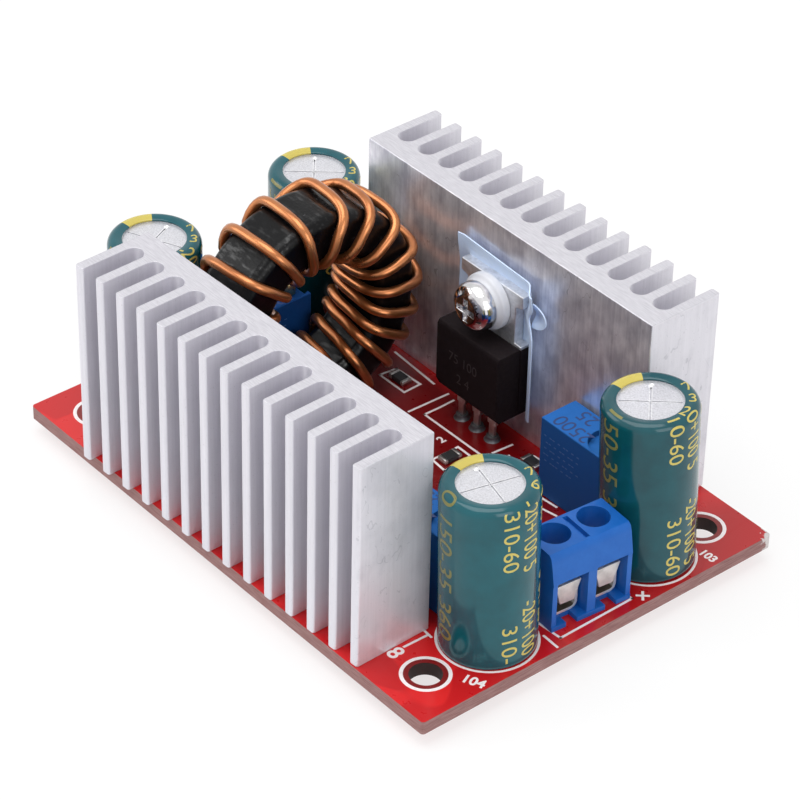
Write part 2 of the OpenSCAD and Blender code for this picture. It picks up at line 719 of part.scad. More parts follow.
module terminal_housing() {
  slot_w = 0.6;
  slot_depth = 0.6;
  color("royalblue") difference() {
    bar_y(terminal_w) terminal_side();
    for (s = [-1, 1]) at_pole(s) terminal_chamber();
    translate([top_back + 0.4, -slot_w / 2, terminal_h - slot_depth])
      cube([terminal_top - 1, slot_w, slot_depth + cut]);
  }
}

// Metal cage of one pole: a U with round lower corners, a threaded plate on top and a pin below
module cage_section(w, h, r) {
  translate([-w / 2, r]) square([w, h - r]);
  translate([-w / 2 + r, 0]) square([w - 2 * r, h]);
  for (s = [-1, 1]) translate([s * (w / 2 - r), r]) circle(r);
}
module cage() {
  inner_w = cage_out_w - 2 * cage_wall;
  translate([cage_mid, 0, floor_t]) difference() {
    bar_x(cage_l) cage_section(cage_out_w, cage_h, cage_r);
    translate([0, 0, cage_wall]) bar_x(cage_l + 2 * cut)
      cage_section(inner_w, cage_h - cage_wall - cage_top, cage_r - cage_wall);
    translate([0, 0, cage_h - cage_top - cut])
      cylinder(d = clamp_screw_d + 2 * turn_fit, h = cage_top + 2 * cut);
  }
  translate([cage_mid - clamp_pin / 2, -clamp_pin / 2, -board_t - tail])
    cube([clamp_pin, clamp_pin, board_t + tail + floor_t + cage_wall]);
}
module cages() { color("silver") for (s = [-1, 1]) at_pole(s) cage(); }

// Wire leaf of one pole: a plate under the screw's tip, with a flap that closes the window above it
module wire_leaf() {
  foot = flap_front - flap_lean;
  color("lightgray") {
    bar_y(leaf_w) polygon([
      [cage_mid - cage_l / 2 + 0.2, leaf_z], [foot, leaf_z], [foot, leaf_z + leaf_t],
      [cage_mid - cage_l / 2 + 0.2, leaf_z + leaf_t]
    ]);
    intersection() {
      bar_y(flap_w) polygon([
        [foot - leaf_t, leaf_z], [foot, leaf_z], [flap_front, leaf_z + flap_h],
        [flap_front - leaf_t, leaf_z + flap_h]
      ]);
      bar_x(2 * terminal_d) polygon([
        [-leaf_w / 2, leaf_z], [leaf_w / 2, leaf_z], [flap_w / 2, leaf_z + flap_h],
        [-flap_w / 2, leaf_z + flap_h]
      ]);
    }
  }
}

module clamp_screw() {
  slot_w = 0.6;
  reach = clamp_head_z - leaf_z - leaf_t;
  color("gainsboro") translate([cage_mid, 0, clamp_head_z]) difference() {
    rotate_extrude() polygon([
      [0, -reach], [clamp_screw_d / 2, -reach], [clamp_screw_d / 2, 0], [clamp_head_d / 2, 0],
      [clamp_head_d / 2, clamp_head_h - 0.2], [clamp_head_d / 2 - 0.2, clamp_head_h], [0, clamp_head_h]
    ]);
    translate([-clamp_head_d, -slot_w / 2, clamp_head_h * 0.45])
      cube([2 * clamp_head_d, slot_w, clamp_head_h]);
  }
}

module trimmer_body() {
  color("royalblue") difference() {
    translate([-trimmer_l / 2, -trimmer_w / 2, 0]) cube([trimmer_l, trimmer_w, trimmer_h]);
    translate([trimmer_screw[0], trimmer_screw[1], trimmer_h - recess_depth])
      cylinder(d = recess_d, h = recess_depth + cut);
    translate([trimmer_screw[0], trimmer_screw[1], trimmer_h - recess_depth - trimmer_bore])
      cylinder(d = trimmer_shaft_d + 2 * turn_fit, h = trimmer_bore + cut);
  }
}
module trimmer_adjuster() {
  seat = trimmer_h - recess_depth;
  slot_w = 0.45;
  slot_depth = 0.5;
  color("gold") translate([trimmer_screw[0], trimmer_screw[1], 0]) difference() {
    union() {
      translate([0, 0, seat - trimmer_bore + turn_fit]) cylinder(d = trimmer_shaft_d, h = trimmer_bore);
      translate([0, 0, seat + turn_fit]) cylinder(d = trimmer_head_d, h = recess_depth + trimmer_head_up);
    }
    translate([-trimmer_head_d, -slot_w / 2, trimmer_h + trimmer_head_up - slot_depth])
      cube([2 * trimmer_head_d, slot_w, slot_depth + recess_depth]);
  }
}
module trimmer_pins() {
  color("silver") each_trimmer_pin() translate([0, 0, -board_t - tail])
    cylinder(d = trimmer_pin_d, h = board_t + tail);
}

module each_chip() { for (c = chip_sites) translate([c[0], c[1], board_t]) rotate(c[2]) children(); }
module chip_bodies() {
  core = chip_l - 2 * chip_end;
  color("black") each_chip() translate([-core / 2, -chip_w / 2, 0]) cube([core, chip_w, chip_h]);
}
module chip_ends() {
  color("silver") each_chip() for (s = [0, 1]) mirror([s, 0, 0])
    translate([chip_l / 2 - chip_end, -chip_w / 2, 0]) cube([chip_end, chip_w, chip_h]);
}
module control_ic_body() {
  gap = 0.15;
  waist = ic_h / 2;
  color("black") translate([ic_site[0], ic_site[1], board_t]) bar_x(ic_l) polygon([
    [-ic_w / 2 + gap, gap], [ic_w / 2 - gap, gap], [ic_w / 2, waist], [ic_w / 2 - gap, ic_h],
    [-ic_w / 2 + gap, ic_h], [-ic_w / 2, waist]
  ]);
}
module control_ic_leads() {
  waist = ic_h / 2;
  toe = ic_w / 2 + ic_reach;
  bend = ic_w / 2 + ic_reach * 0.45;
  color("silver") translate([ic_site[0], ic_site[1], board_t]) for (side = [0, 180]) rotate(side)
    for (i = [0 : ic_leads - 1]) translate([(i - (ic_leads - 1) / 2) * ic_pitch, 0, 0])
      bar_x(ic_lead_w) polygon([
        [ic_w / 2, waist], [bend, waist], [bend, ic_lead_t], [toe, ic_lead_t], [toe, 0],
        [bend - ic_lead_t, 0], [bend - ic_lead_t, waist - ic_lead_t], [ic_w / 2, waist - ic_lead_t]
      ]);
}
module current_shunt() {
  color("dimgray") translate([shunt_site[0] - shunt_l / 2, shunt_site[1] - shunt_w / 2, board_t])
    cube([shunt_l, shunt_w, chip_h]);
}

circuit_board();
solder_joints();
at_front_sink() heatsink();  // front_heatsink
at_rear_sink() heatsink();  // rear_heatsink
heatsink_screws();
at_rear_sink() package_body();  // mosfet_body
at_rear_sink() package_tab();  // mosfet_tab
at_rear_sink() package_leads();  // mosfet_leads
at_rear_sink() package_pad();  // mosfet_pad
at_rear_sink() package_bush();  // mosfet_bush
at_rear_sink() package_screw();  // mosfet_screw
at_front_sink() package_body();  // rectifier_body
at_front_sink() package_tab();  // rectifier_tab
at_front_sink() package_leads();  // rectifier_leads
at_front_sink() package_pad();  // rectifier_pad
at_front_sink() package_bush();  // rectifier_bush
at_front_sink() package_screw();  // rectifier_screw
inductor_core();
inductor_winding();
at_can(0) leaning(0) can(-15);  // output_front_can
at_can(0) leaning(0) sleeve();  // output_front_sleeve
at_can(0) can_leads(0);  // output_front_can_leads
at_can(1) leaning(1) can(-44);  // output_rear_can
at_can(1) leaning(1) sleeve();  // output_rear_sleeve
at_can(1) can_leads(1);  // output_rear_can_leads
at_can(2) leaning(2) can(25);  // input_front_can
at_can(2) leaning(2) sleeve();  // input_front_sleeve
at_can(2) can_leads(2);  // input_front_can_leads
at_can(3) leaning(3) can(50);  // input_rear_can
at_can(3) leaning(3) sleeve();  // input_rear_sleeve
at_can(3) can_leads(3);  // input_rear_can_leads
at_output() terminal_housing();  // output_terminal_housing
at_output() cages();  // output_cages
at_output() at_pole(-1) wire_leaf();  // output_minus_leaf
at_output() at_pole(-1) clamp_screw();  // output_minus_screw
at_output() at_pole(1) wire_leaf();  // output_plus_leaf
at_output() at_pole(1) clamp_screw();  // output_plus_screw
at_input() terminal_housing();  // input_terminal_housing
at_input() cages();  // input_cages
at_input() at_pole(-1) wire_leaf();  // input_minus_leaf
at_input() at_pole(-1) clamp_screw();  // input_minus_screw
at_input() at_pole(1) wire_leaf();  // input_plus_leaf
at_input() at_pole(1) clamp_screw();  // input_plus_screw
at_voltage() trimmer_body();  // voltage_trimmer_body
at_voltage() trimmer_adjuster();  // voltage_trimmer_screw
at_voltage() trimmer_pins();  // voltage_trimmer_pins
at_current() trimmer_body();  // current_trimmer_body
at_current() trimmer_adjuster();  // current_trimmer_screw
at_current() trimmer_pins();  // current_trimmer_pins
at_cutoff() trimmer_body();  // cutoff_trimmer_body
at_cutoff() trimmer_adjuster();  // cutoff_trimmer_screw
at_cutoff() trimmer_pins();  // cutoff_trimmer_pins
control_ic_body();
control_ic_leads();
chip_bodies();
chip_ends();
current_shunt();
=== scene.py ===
import json
import math
import bmesh
import bpy
from mathutils import Matrix, Vector


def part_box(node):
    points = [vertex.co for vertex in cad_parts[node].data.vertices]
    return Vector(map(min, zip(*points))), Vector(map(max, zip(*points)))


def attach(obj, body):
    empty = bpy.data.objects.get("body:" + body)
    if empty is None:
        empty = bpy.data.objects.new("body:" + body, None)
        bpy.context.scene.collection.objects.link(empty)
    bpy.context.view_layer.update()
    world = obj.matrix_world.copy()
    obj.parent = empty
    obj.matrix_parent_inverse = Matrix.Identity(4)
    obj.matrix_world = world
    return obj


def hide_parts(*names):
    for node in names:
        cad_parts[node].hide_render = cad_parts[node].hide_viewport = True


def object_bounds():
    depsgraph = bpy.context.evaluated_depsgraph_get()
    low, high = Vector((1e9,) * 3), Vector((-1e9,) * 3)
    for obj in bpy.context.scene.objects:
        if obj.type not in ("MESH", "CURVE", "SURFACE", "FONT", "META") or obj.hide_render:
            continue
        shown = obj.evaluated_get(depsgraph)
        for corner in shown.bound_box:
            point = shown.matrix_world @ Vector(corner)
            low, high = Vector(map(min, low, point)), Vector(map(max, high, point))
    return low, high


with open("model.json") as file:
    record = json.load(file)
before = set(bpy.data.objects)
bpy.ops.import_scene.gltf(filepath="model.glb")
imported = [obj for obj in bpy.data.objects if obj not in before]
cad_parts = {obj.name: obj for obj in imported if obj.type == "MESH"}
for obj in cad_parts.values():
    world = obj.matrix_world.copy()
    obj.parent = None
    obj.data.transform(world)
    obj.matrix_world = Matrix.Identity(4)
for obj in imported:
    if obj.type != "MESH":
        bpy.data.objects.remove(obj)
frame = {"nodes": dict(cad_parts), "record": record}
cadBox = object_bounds()
mm = 0.001
weld = 0.0005 * mm  # points closer than this become one
nodes = frame["nodes"]
record = frame["record"]
bodyOf = {n: body for body, members in record["behaviour"]["bodies"].items() for n in members}
slotOf = {part["node"]: part["material_slot"] for part in record["subparts"]}
stage = bpy.context.scene
board = {"top": 1.6, "holeX": 28.0, "holeY": 19.0, "ringIn": 2.3}
print("frame loaded,", len(nodes), "nodes")


class Sig:  # a shader socket that takes part in maths
    def __init__(self, tree, socket):
        self.tree = tree
        self.socket = socket

    def math(self, operation, other=0.0, swap=False, clamp=False):
        node = self.tree.nodes.new("ShaderNodeMath")
        node.operation = operation
        node.use_clamp = clamp
        for slot, value in zip(node.inputs, (other, self) if swap else (self, other)):
            plug(self.tree, slot, value)
        return Sig(self.tree, node.outputs[0])

    def __add__(self, other):
        return self.math("ADD", other)

    def __sub__(self, other):
        return self.math("SUBTRACT", other)

    def __mul__(self, other):
        return self.math("MULTIPLY", other)

    def __truediv__(self, other):
        return self.math("DIVIDE", other)

    def __gt__(self, other):
        return self.math("GREATER_THAN", other)

    def __lt__(self, other):
        return self.math("LESS_THAN", other)

    def __rsub__(self, other):
        return self.math("SUBTRACT", other, swap=True)

    def __abs__(self):
        return self.math("ABSOLUTE")

    def clip(self):
        return self.math("ADD", 0.0, clamp=True)

    def ramp(self, low, high):  # 0 at low, 1 at high, straight between
        return ((self - low) / (high - low)).clip()


def plug(tree, slot, value):
    if isinstance(value, Sig):
        tree.links.new(value.socket, slot)
    else:
        slot.default_value = value


def rgb(red, green, blue):
    return (red, green, blue, 1.0)


class Finish:  # one material and its nodes
    def __init__(self, name, colour, rough, metal=0.0, **fixed):
        self.material = bpy.data.materials.new(name)
        self.material.use_nodes = True
        self.tree = self.material.node_tree
        self.shader = self.tree.nodes["Principled BSDF"]
        self.material.diffuse_color = rgb(*colour)
        values = {"Base Color": rgb(*colour), "Roughness": rough, "Metallic": metal}
        values.update({key.replace("_", " "): value for key, value in fixed.items()})
        for key, value in values.items():
            self.shader.inputs[key].default_value = value

    def node(self, kind, settings=None, sockets=None, out=0):
        node = self.tree.nodes.new("ShaderNode" + kind)
        for key, value in (settings or {}).items():
            setattr(node, key, value)
        for key, value in (sockets or {}).items():
            plug(self.tree, node.inputs[key], value)
        return Sig(self.tree, node.outputs[out])

    def feed(self, **links):
        for key, value in links.items():
            plug(self.tree, self.shader.inputs[key.replace("_", " ")], value)

    def place(self, stretch=(1, 1, 1), turn=(0, 0, 0)):
        spot = self.node("TexCoord", out="Object")
        return self.node("Mapping", None, {"Vector": spot, "Scale": stretch, "Rotation": turn})

    def axis(self, index):  # one object coordinate, in millimetres
        spot = self.node("TexCoord", out="Object")
        return self.node("SeparateXYZ", None, {0: spot}, index) * 1000.0

    def facing(self, index):  # one component of the surface normal
        normal = self.node("NewGeometry", out="Normal")
        return self.node("SeparateXYZ", None, {0: normal}, index)

    def grain(self, perMm, detail=3.0, stretch=(1, 1, 1), turn=(0, 0, 0)):
        spot = self.place(stretch, turn)
        return self.node("TexNoise", None, {
            "Vector": spot, "Scale": perMm * 1000.0, "Detail": detail, "Roughness": 0.55})

    def hairs(self, perMm, width, stretch=(1, 1, 1)):  # thin wandering lines
        return abs(self.grain(perMm, 2.0, stretch) - 0.5) < width

    def blend(self, factor, first, second):
        mix = {"data_type": "RGBA"}
        return self.node("Mix", mix, {0: factor, 6: first, 7: second}, 2)

    def bump(self, height, depth, strength):
        relief = {"Height": height, "Distance": depth * mm, "Strength": strength}
        self.feed(Normal=self.node("Bump", None, relief))


# camera, at the photograph's viewing angle
shot = {"azimuth": 49.5, "elevation": 36.36, "roll": 1.36, "lens": 158.61, "sensor": 36.0, "near": 0.02,
        "distance": 375.8, "target": (-0.51, 1.11, 10.0)}


def placeCamera():
    az, el, roll = (math.radians(shot[key]) for key in ("azimuth", "elevation", "roll"))
    back = Vector((math.sin(az) * math.cos(el), -math.cos(az) * math.cos(el), math.sin(el)))
    right = Vector((0, 0, 1)).cross(back).normalized()
    up = back.cross(right)
    across = right * math.cos(roll) + up * math.sin(roll)
    upright = up * math.cos(roll) - right * math.sin(roll)
    lens = bpy.data.cameras.new("camera")
    lens.lens = shot["lens"]
    lens.sensor_width = shot["sensor"]
    lens.clip_start = shot["near"]
    camera = bpy.data.objects.new("camera", lens)
    camera.matrix_world = Matrix((across, upright, back)).transposed().to_4x4()
    camera.location = (Vector(shot["target"]) + back * shot["distance"]) * mm
    stage.collection.objects.link(camera)
    stage.camera = camera


# lamps, world and floor, in metres: each lamp's name, place, size and power
studio = {"sky": 0.55, "floorColour": (0.93, 0.93, 0.93), "floorGlow": 0.72, "floorSize": 3.0,
          "floorGap": 0.02, "aim": (0, 0, 0.01), "lamps": [
              ("overhead", (-0.05, -0.10, 0.62), 0.55, 2.6),
              ("left", (-0.50, -0.42, 0.30), 0.40, 1.1),
              ("right", (0.55, -0.10, 0.28), 0.35, 0.9)]}


def shown(tree):  # 1 for rays that show a surface, 0 for rays that light one
    path = tree.nodes.new("ShaderNodeLightPath")
    kinds = ("Is Camera Ray", "Is Glossy Ray", "Is Transmission Ray")
    rays = [Sig(tree, path.outputs[kind]) for kind in kinds]
    return (rays[0] + rays[1] + rays[2]).clip()


def lightStudio():
    world = bpy.data.worlds.new("studio")
    stage.world = world
    world.use_nodes = True
    tree = world.node_tree
    sky = tree.nodes["Background"]
    sky.inputs["Color"].default_value = rgb(1, 1, 1)
    plug(tree, sky.inputs["Strength"], shown(tree) * (1.0 - studio["sky"]) + studio["sky"])
    for name, spot, size, power in studio["lamps"]:
        lamp = bpy.data.lights.new(name, "AREA")
        lamp.size = size
        lamp.energy = power
        holder = bpy.data.objects.new(name, lamp)
        holder.location = spot
        away = Vector(spot) - Vector(studio["aim"])
        holder.rotation_euler = away.to_track_quat("Z", "Y").to_euler()
        stage.collection.objects.link(holder)


def layFloor():
    pale = Finish("floor_pale", studio["floorColour"], 0.9)
    glow = pale.node("Emission", None, {"Color": rgb(1, 1, 1), "Strength": 1.0})
    share = shown(pale.tree) * studio["floorGlow"]
    both = pale.node("MixShader", None, {0: share, 1: Sig(pale.tree, pale.shader.outputs[0]), 2: glow})
    pale.tree.links.new(both.socket, pale.tree.nodes["Material Output"].inputs["Surface"])
    bm = bmesh.new()
    bmesh.ops.create_grid(bm, x_segments=1, y_segments=1, size=studio["floorSize"] / 2,
                          matrix=Matrix.Translation((0, 0, cadBox[0][2] - studio["floorGap"] * mm)))
    mesh = bpy.data.meshes.new("floor")
    bm.to_mesh(mesh)
    bm.free()
    mesh.materials.append(pale.material)
    floor = bpy.data.objects.new("floor", mesh)
    stage.collection.objects.link(floor)


placeCamera()
lightStudio()
layFloor()
stage.view_settings.view_transform = "Standard"
print("camera, lamps and floor set")


# making and dressing of pieces
def addPiece(name, bm, finish, body="module", slot=None, replaced=(), smooth=32, flats=True):
    mesh = bpy.data.meshes.new(name)
    bm.to_mesh(mesh)
    bm.free()
    mesh.shade_smooth()
    mesh.set_sharp_from_angle(angle=math.radians(smooth))
    mesh.materials.append(finish.material)
    piece = bpy.data.objects.new(name, mesh)
    stage.collection.objects.link(piece)
    if flats:
        even = piece.modifiers.new("flats", "WEIGHTED_NORMAL")
        even.keep_sharp = True
    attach(piece, body)
    if replaced:
        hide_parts(*replaced)
    slot or slotOf[replaced[0]]
    return piece


def dress(finish, *names):  # a CAD node keeps its mesh and gets a finish
    for name in names:
        mesh = nodes[name].data
        mesh.materials.clear()
        mesh.materials.append(finish.material)


# in degrees: faces that count as flat, and edges sharp enough to be rounded
rounding = {"flat": 0.5, "sharp": 35, "segments": 2, "profile": 0.5}


def copyOf(name):  # a CAD node's mesh with its triangles joined
    bm = bmesh.new()
    bm.from_mesh(nodes[name].data)
    bmesh.ops.remove_doubles(bm, verts=bm.verts[:], dist=weld)
    flat = math.radians(rounding["flat"])
    bmesh.ops.dissolve_limit(bm, angle_limit=flat, verts=bm.verts[:], edges=bm.edges[:])
    return bm


def narrow(bm, share):  # a plate gets narrower in Y towards its foot
    heights = [v.co.z for v in bm.verts]
    widths = [v.co.y for v in bm.verts]
    low, high, heart = min(heights), max(heights), (min(widths) + max(widths)) / 2
    for vert in bm.verts:
        vert.co.y += (heart - vert.co.y) * share * (high - vert.co.z) / (high - low)


def soften(finish, width, *names, clamp=False, taper=0.0):  # a copy with rounded edges
    sharp = math.radians(rounding["sharp"])
    for name in names:
        bm = copyOf(name)
        narrow(bm, taper)
        edges = [e for e in bm.edges if len(e.link_faces) == 2 and e.calc_face_angle(0) > sharp]
        bmesh.ops.bevel(bm, geom=edges, offset=width * mm, offset_type="OFFSET", affect="EDGES",
                        segments=rounding["segments"], profile=rounding["profile"], material=-1,
                        clamp_overlap=clamp)
        addPiece(name + "_shaped", bm, finish, bodyOf[name], replaced=(name,))


def turned(outline, middle, axis, steps):  # a ring from a closed outline of (radius, height), mm
    bm = bmesh.new()
    out, along = {"X": ((0, 0, 1), (1, 0, 0)), "Z": ((1, 0, 0), (0, 0, 1))}[axis]
    centre = Vector(middle)
    verts = [bm.verts.new((centre + Vector(out) * r + Vector(along) * h) * mm) for r, h in outline]
    edges = [bm.edges.new(pair) for pair in zip(verts, verts[1:] + verts[:1])]
    bmesh.ops.spin(bm, geom=verts + edges, cent=centre * mm, axis=along, angle=math.tau,
                   steps=steps, use_merge=True)
    bmesh.ops.remove_doubles(bm, verts=bm.verts[:], dist=weld)
    bmesh.ops.recalc_face_normals(bm, faces=bm.faces[:])
    return bm


def addBox(bm, low, high):  # a block between two corners
    middle = (Vector(low) + Vector(high)) / 2
    size = Vector(high) - Vector(low)
    spot = Matrix.Translation(middle * mm) @ Matrix.Diagonal((*(size * mm), 1))
    bmesh.ops.create_cube(bm, size=1.0, matrix=spot)


def ease(value, low, high):  # 0 at low, 1 at high, smooth at both
    t = min(1.0, max(0.0, (value - low) / (high - low)))
    return t * t * (3 - 2 * t)


def middleOf(name):  # in mm
    low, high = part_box(name)
    return (low + high) / 2 / mm


# finishes
def laminateFinish():
    # painted shade: the near black red and the dull red in this table darken the board where shadows fall
    look = {"mask": rgb(0.69, 0.013, 0.014), "deep": rgb(0.55, 0.007, 0.009), "dull": rgb(0.45, 0.007, 0.009),
            "between": rgb(0.13, 0.002, 0.003), "bare": rgb(0.22, 0.008, 0.008),
            "edge": rgb(0.21, 0.09, 0.085), "fibre": rgb(0.35, 0.20, 0.19),
            "wall": rgb(0.025, 0.010, 0.009), "chipped": rgb(0.62, 0.58, 0.57)}
    f = Finish("red_laminate", (0.6, 0.012, 0.012), 0.32, Coat_Roughness=0.12, Specular_IOR_Level=0.38)
    x, y = f.axis(0), f.axis(1)
    side = abs(f.facing(2)) < 0.5
    upper = f.facing(2) > 0.5
    across, along = abs(x) - board["holeX"], abs(y) - board["holeY"]
    atHole = (across * across + along * along).math("SQRT") < board["ringIn"]
    pour = f.grain(0.16, 1.0).ramp(0.46, 0.5)  # copper under the mask
    layers = f.grain(2.2, 3.0, (0.25, 0.25, 6.0))
    between = x.ramp(27.0, 16.0) * abs(y).ramp(15.5, 13.0) * upper  # painted shade: darker red between the heatsinks
    paintedShadeFar = y.ramp(-8.0, 2.0) * x.ramp(23.0, 28.0) * upper  # painted shade: duller, darker red at the far right, where the heatsink and can cast shadow
    field = f.blend(paintedShadeFar, f.blend(pour, look["mask"], look["deep"]), look["dull"])
    field = f.blend(between * 0.9, field, look["between"])
    mask = f.blend(atHole, field, look["bare"])
    cut = f.blend(layers.ramp(0.35, 0.65), look["edge"], look["fibre"])
    # painted shade: the wall inside each corner hole is nearly black
    rim = f.blend(atHole, cut, look["wall"])
    knocked = ((x + y).ramp(53.0, 57.5) + f.grain(1.3, 3.0)).ramp(1.22, 1.3)  # the worn right corner
    f.feed(Base_Color=f.blend(knocked, f.blend(side, mask, rim), look["chipped"]),
           Roughness=f.grain(0.9, 2.0) * 0.1 + side * 0.35 + 0.24,
           Coat_Weight=(1.0 - side) * 0.2)
    f.bump(pour * (1.0 - side) + layers * side + f.grain(6.0) * 0.15, 0.03, 0.5)
    return f


def aluminiumFinish():
    look = {"clean": rgb(0.76, 0.745, 0.80), "dull": rgb(0.67, 0.66, 0.71), "sawn": rgb(0.63, 0.62, 0.66),
            "sawnDull": rgb(0.50, 0.49, 0.53), "pit": rgb(0.20, 0.18, 0.19), "stain": rgb(0.40, 0.40, 0.45),
            "worn": rgb(0.53, 0.52, 0.58), "rubbed": rgb(0.96, 0.95, 0.99)}
    f = Finish("extruded_aluminium", (0.75, 0.74, 0.78), 0.4, 0.5)
    cutEnd = abs(f.facing(2)) > 0.5  # sawn top and bottom
    inside = (abs(f.axis(1)) < 15.4) * (abs(f.facing(1)) > 0.5)  # faces that carry the packages
    streak = f.grain(3.0, 3.0, (1.0, 1.0, 0.03))
    scuff = f.grain(0.5, 5.0, (1.0, 1.0, 0.6))
    speck = f.grain(7.0, 2.0)
    saw = f.grain(5.0, 2.0, (0.12, 1.6, 1.0), (0, 0, 0.35))
    crack = f.hairs(0.4, 0.004, (1.0, 1.0, 0.3)) * (f.grain(0.18, 2.0) > 0.54)
    skin = f.blend(streak.ramp(0.3, 0.75) * 0.7, look["clean"], look["dull"])
    top = f.blend(saw.ramp(0.35, 0.7), look["sawn"], look["sawnDull"])
    smear = f.blend((scuff * 0.8 + streak * 0.3).ramp(0.4, 0.72), look["worn"], look["rubbed"])
    pit = speck.ramp(0.31, 0.26) * 0.5
    end = abs(f.axis(0)) > 22.6
    scrape = f.hairs(0.35, 0.006, (1.0, 1.0, 0.6)) * (f.grain(0.5, 2.0) > 0.57)
    handled = (scuff * 0.5 + f.grain(0.16, 3.0) * 0.5).ramp(0.48, 0.68)
    stain = (handled * 0.35 + scrape * 0.35) * end  # marks on the end faces
    outside = f.blend(pit, f.blend(stain, f.blend(cutEnd, skin, top), look["stain"]), look["pit"])
    f.feed(Base_Color=f.blend(inside, outside, f.blend(crack * 0.35, smear, look["pit"])),
           Roughness=f.blend(cutEnd, streak * 0.2 + 0.32 - inside * 0.08 - end * 0.08, speck * 0.25 + 0.4),
           Metallic=inside * 0.15 - end * 0.1 + 0.5)
    f.bump((saw + speck * 0.8) * cutEnd + streak * (1.0 - cutEnd) * 0.5 - pit - crack * 0.5, 0.02, 0.7)
    return f


def steelFinish(name, colour, rough, fine, metal=1.0):
    f = Finish(name, colour, rough, metal)
    blot = f.grain(fine, 3.0)
    dark = rgb(*(c * 0.72 for c in colour))
    f.feed(Base_Color=f.blend(blot.ramp(0.35, 0.7), rgb(*colour), dark),
           Roughness=blot * 0.18 + (rough - 0.09))
    f.bump(f.grain(fine * 6.0), 0.006, 0.5)
    return f


def cageFinish():
    look = {"rim": rgb(0.86, 0.85, 0.82), "floor": rgb(0.17, 0.15, 0.12)}
    f = Finish("cage_metal", (0.8, 0.79, 0.76), 0.3, 0.6)
    # painted shade: faces that point up, such as the floor of each cage down in the housing, are a dark brown
    f.feed(Base_Color=f.blend(f.facing(2).ramp(0.4, 0.7), look["rim"], look["floor"]),
           Roughness=f.grain(0.9, 3.0) * 0.18 + 0.22)
    f.bump(f.grain(5.0), 0.006, 0.5)
    return f


def copperFinish():
    look = {"bare": rgb(0.50, 0.185, 0.065), "dark": rgb(0.40, 0.135, 0.045)}
    f = Finish("enamelled_copper", (0.48, 0.17, 0.06), 0.3, 0.85, Coat_Weight=0.3, Coat_Roughness=0.16)
    mottle = f.grain(0.35, 2.0)
    f.feed(Base_Color=f.blend(mottle.ramp(0.35, 0.7), look["bare"], look["dark"]),
           Roughness=mottle * 0.1 + 0.24)
    return f


def coreFinish():
    look = {"lacquer": rgb(0.002, 0.002, 0.0025), "chip": rgb(0.05, 0.05, 0.055)}
    f = Finish("black_core", (0.003, 0.003, 0.004), 0.3, 0.0, Coat_Roughness=0.12, Specular_IOR_Level=0.15)
    lump = f.grain(0.6, 4.0)
    brush = f.grain(2.2, 3.0, (0.25, 1.0, 1.0))
    nick = f.grain(1.6, 4.0).ramp(0.7, 0.76)
    wet = (lump * 0.4 + brush * 0.6).ramp(0.52, 0.62)  # drops and runs of lacquer
    f.feed(Base_Color=f.blend(nick, look["lacquer"], look["chip"]),
           Roughness=lump * 0.2 + nick * 0.3 + 0.22, Coat_Weight=wet * 0.55 + 0.05)
    f.bump(lump + brush * 0.35 + nick * 0.3, 0.14, 0.7)
    return f


# worn: colour of rubbed patches, upright: brightness of the sides against the top, a painted shade on the
# sides when below 1
def plasticFinish(name, colour, worn, rough, fine, relief, spec=0.5, upright=1.0):
    f = Finish(name, colour, rough, 0.0, Specular_IOR_Level=spec)
    cloud = f.grain(fine * 0.25, 3.0)
    skin = f.blend(cloud.ramp(0.35, 0.75), rgb(*colour), rgb(*worn))
    # painted shade: the sides darker than the top
    if upright < 1.0:
        skin = f.blend(abs(f.facing(2)).ramp(0.7, 0.3), skin, rgb(*(c * upright for c in colour)))
    f.feed(Base_Color=skin, Roughness=cloud * 0.16 + rough - 0.08)
    f.bump(f.grain(fine, 2.0), relief, 0.6)
    return f


def sleeveFinish(name, paintedBrightness, shade):  # after the name: the film's brightness, below 1 a painted shade, then the share of it lost low down, a painted shade towards the board
    look = {"film": rgb(0.004, 0.098 * paintedBrightness, 0.122 * paintedBrightness), "deep": rgb(0.003, 0.074 * paintedBrightness, 0.094 * paintedBrightness),
            "gold": rgb(0.58, 0.48, 0.10), "dark": rgb(0.001, 0.012, 0.016)}
    f = Finish(name, (0.006, 0.1, 0.11), 0.2, 0.0,
               Coat_Weight=0.15, Coat_Roughness=0.08, Specular_IOR_Level=0.35)
    spot = f.node("UVMap", {"uv_map": "wrap"})
    turn = f.node("SeparateXYZ", None, {0: spot}, 0)
    rise = f.node("SeparateXYZ", None, {0: spot}, 1)
    # stripe that marks the negative lead, in shares of the way round and of the height
    stripe = {"half": 0.065, "from": 0.05, "dashes": 7.0, "dashRise": 0.2, "dashTo": 0.86, "dashHalf": 0.016}
    band = (abs(turn - 0.5) < stripe["half"]) * (rise > stripe["from"])
    dashed = abs((rise * stripe["dashes"]).math("FRACT") - 0.5) < stripe["dashRise"]
    dashed = dashed * (rise < stripe["dashTo"])
    dash = (abs(turn - 0.5) < stripe["dashHalf"]) * dashed
    gold = band * (1.0 - dash)
    cloud = f.grain(0.35, 3.0)
    film = f.blend(cloud.ramp(0.35, 0.7), look["film"], look["deep"])
    # painted shade: the film turns near black towards the board
    film = f.blend(f.axis(2).ramp(21.0, 16.0) * shade, film, look["dark"])
    f.feed(Base_Color=f.blend(gold, film, look["gold"]), Roughness=cloud * 0.1 + gold * 0.12 + 0.09)
    f.bump(f.grain(0.5, 2.0, (1.0, 1.0, 0.35)) + gold * 0.1, 0.06, 0.3)
    return f


def inkFinish(name, colour, rough, thin):
    f = Finish(name, colour, rough)
    wear = f.grain(2.0, 4.0)
    f.feed(Base_Color=f.blend(wear.ramp(0.5, 0.8) * 0.5, rgb(*colour), rgb(*thin)),
           Roughness=wear * 0.2 + rough - 0.1)
    f.bump(f.grain(8.0), 0.006, 0.4)
    return f


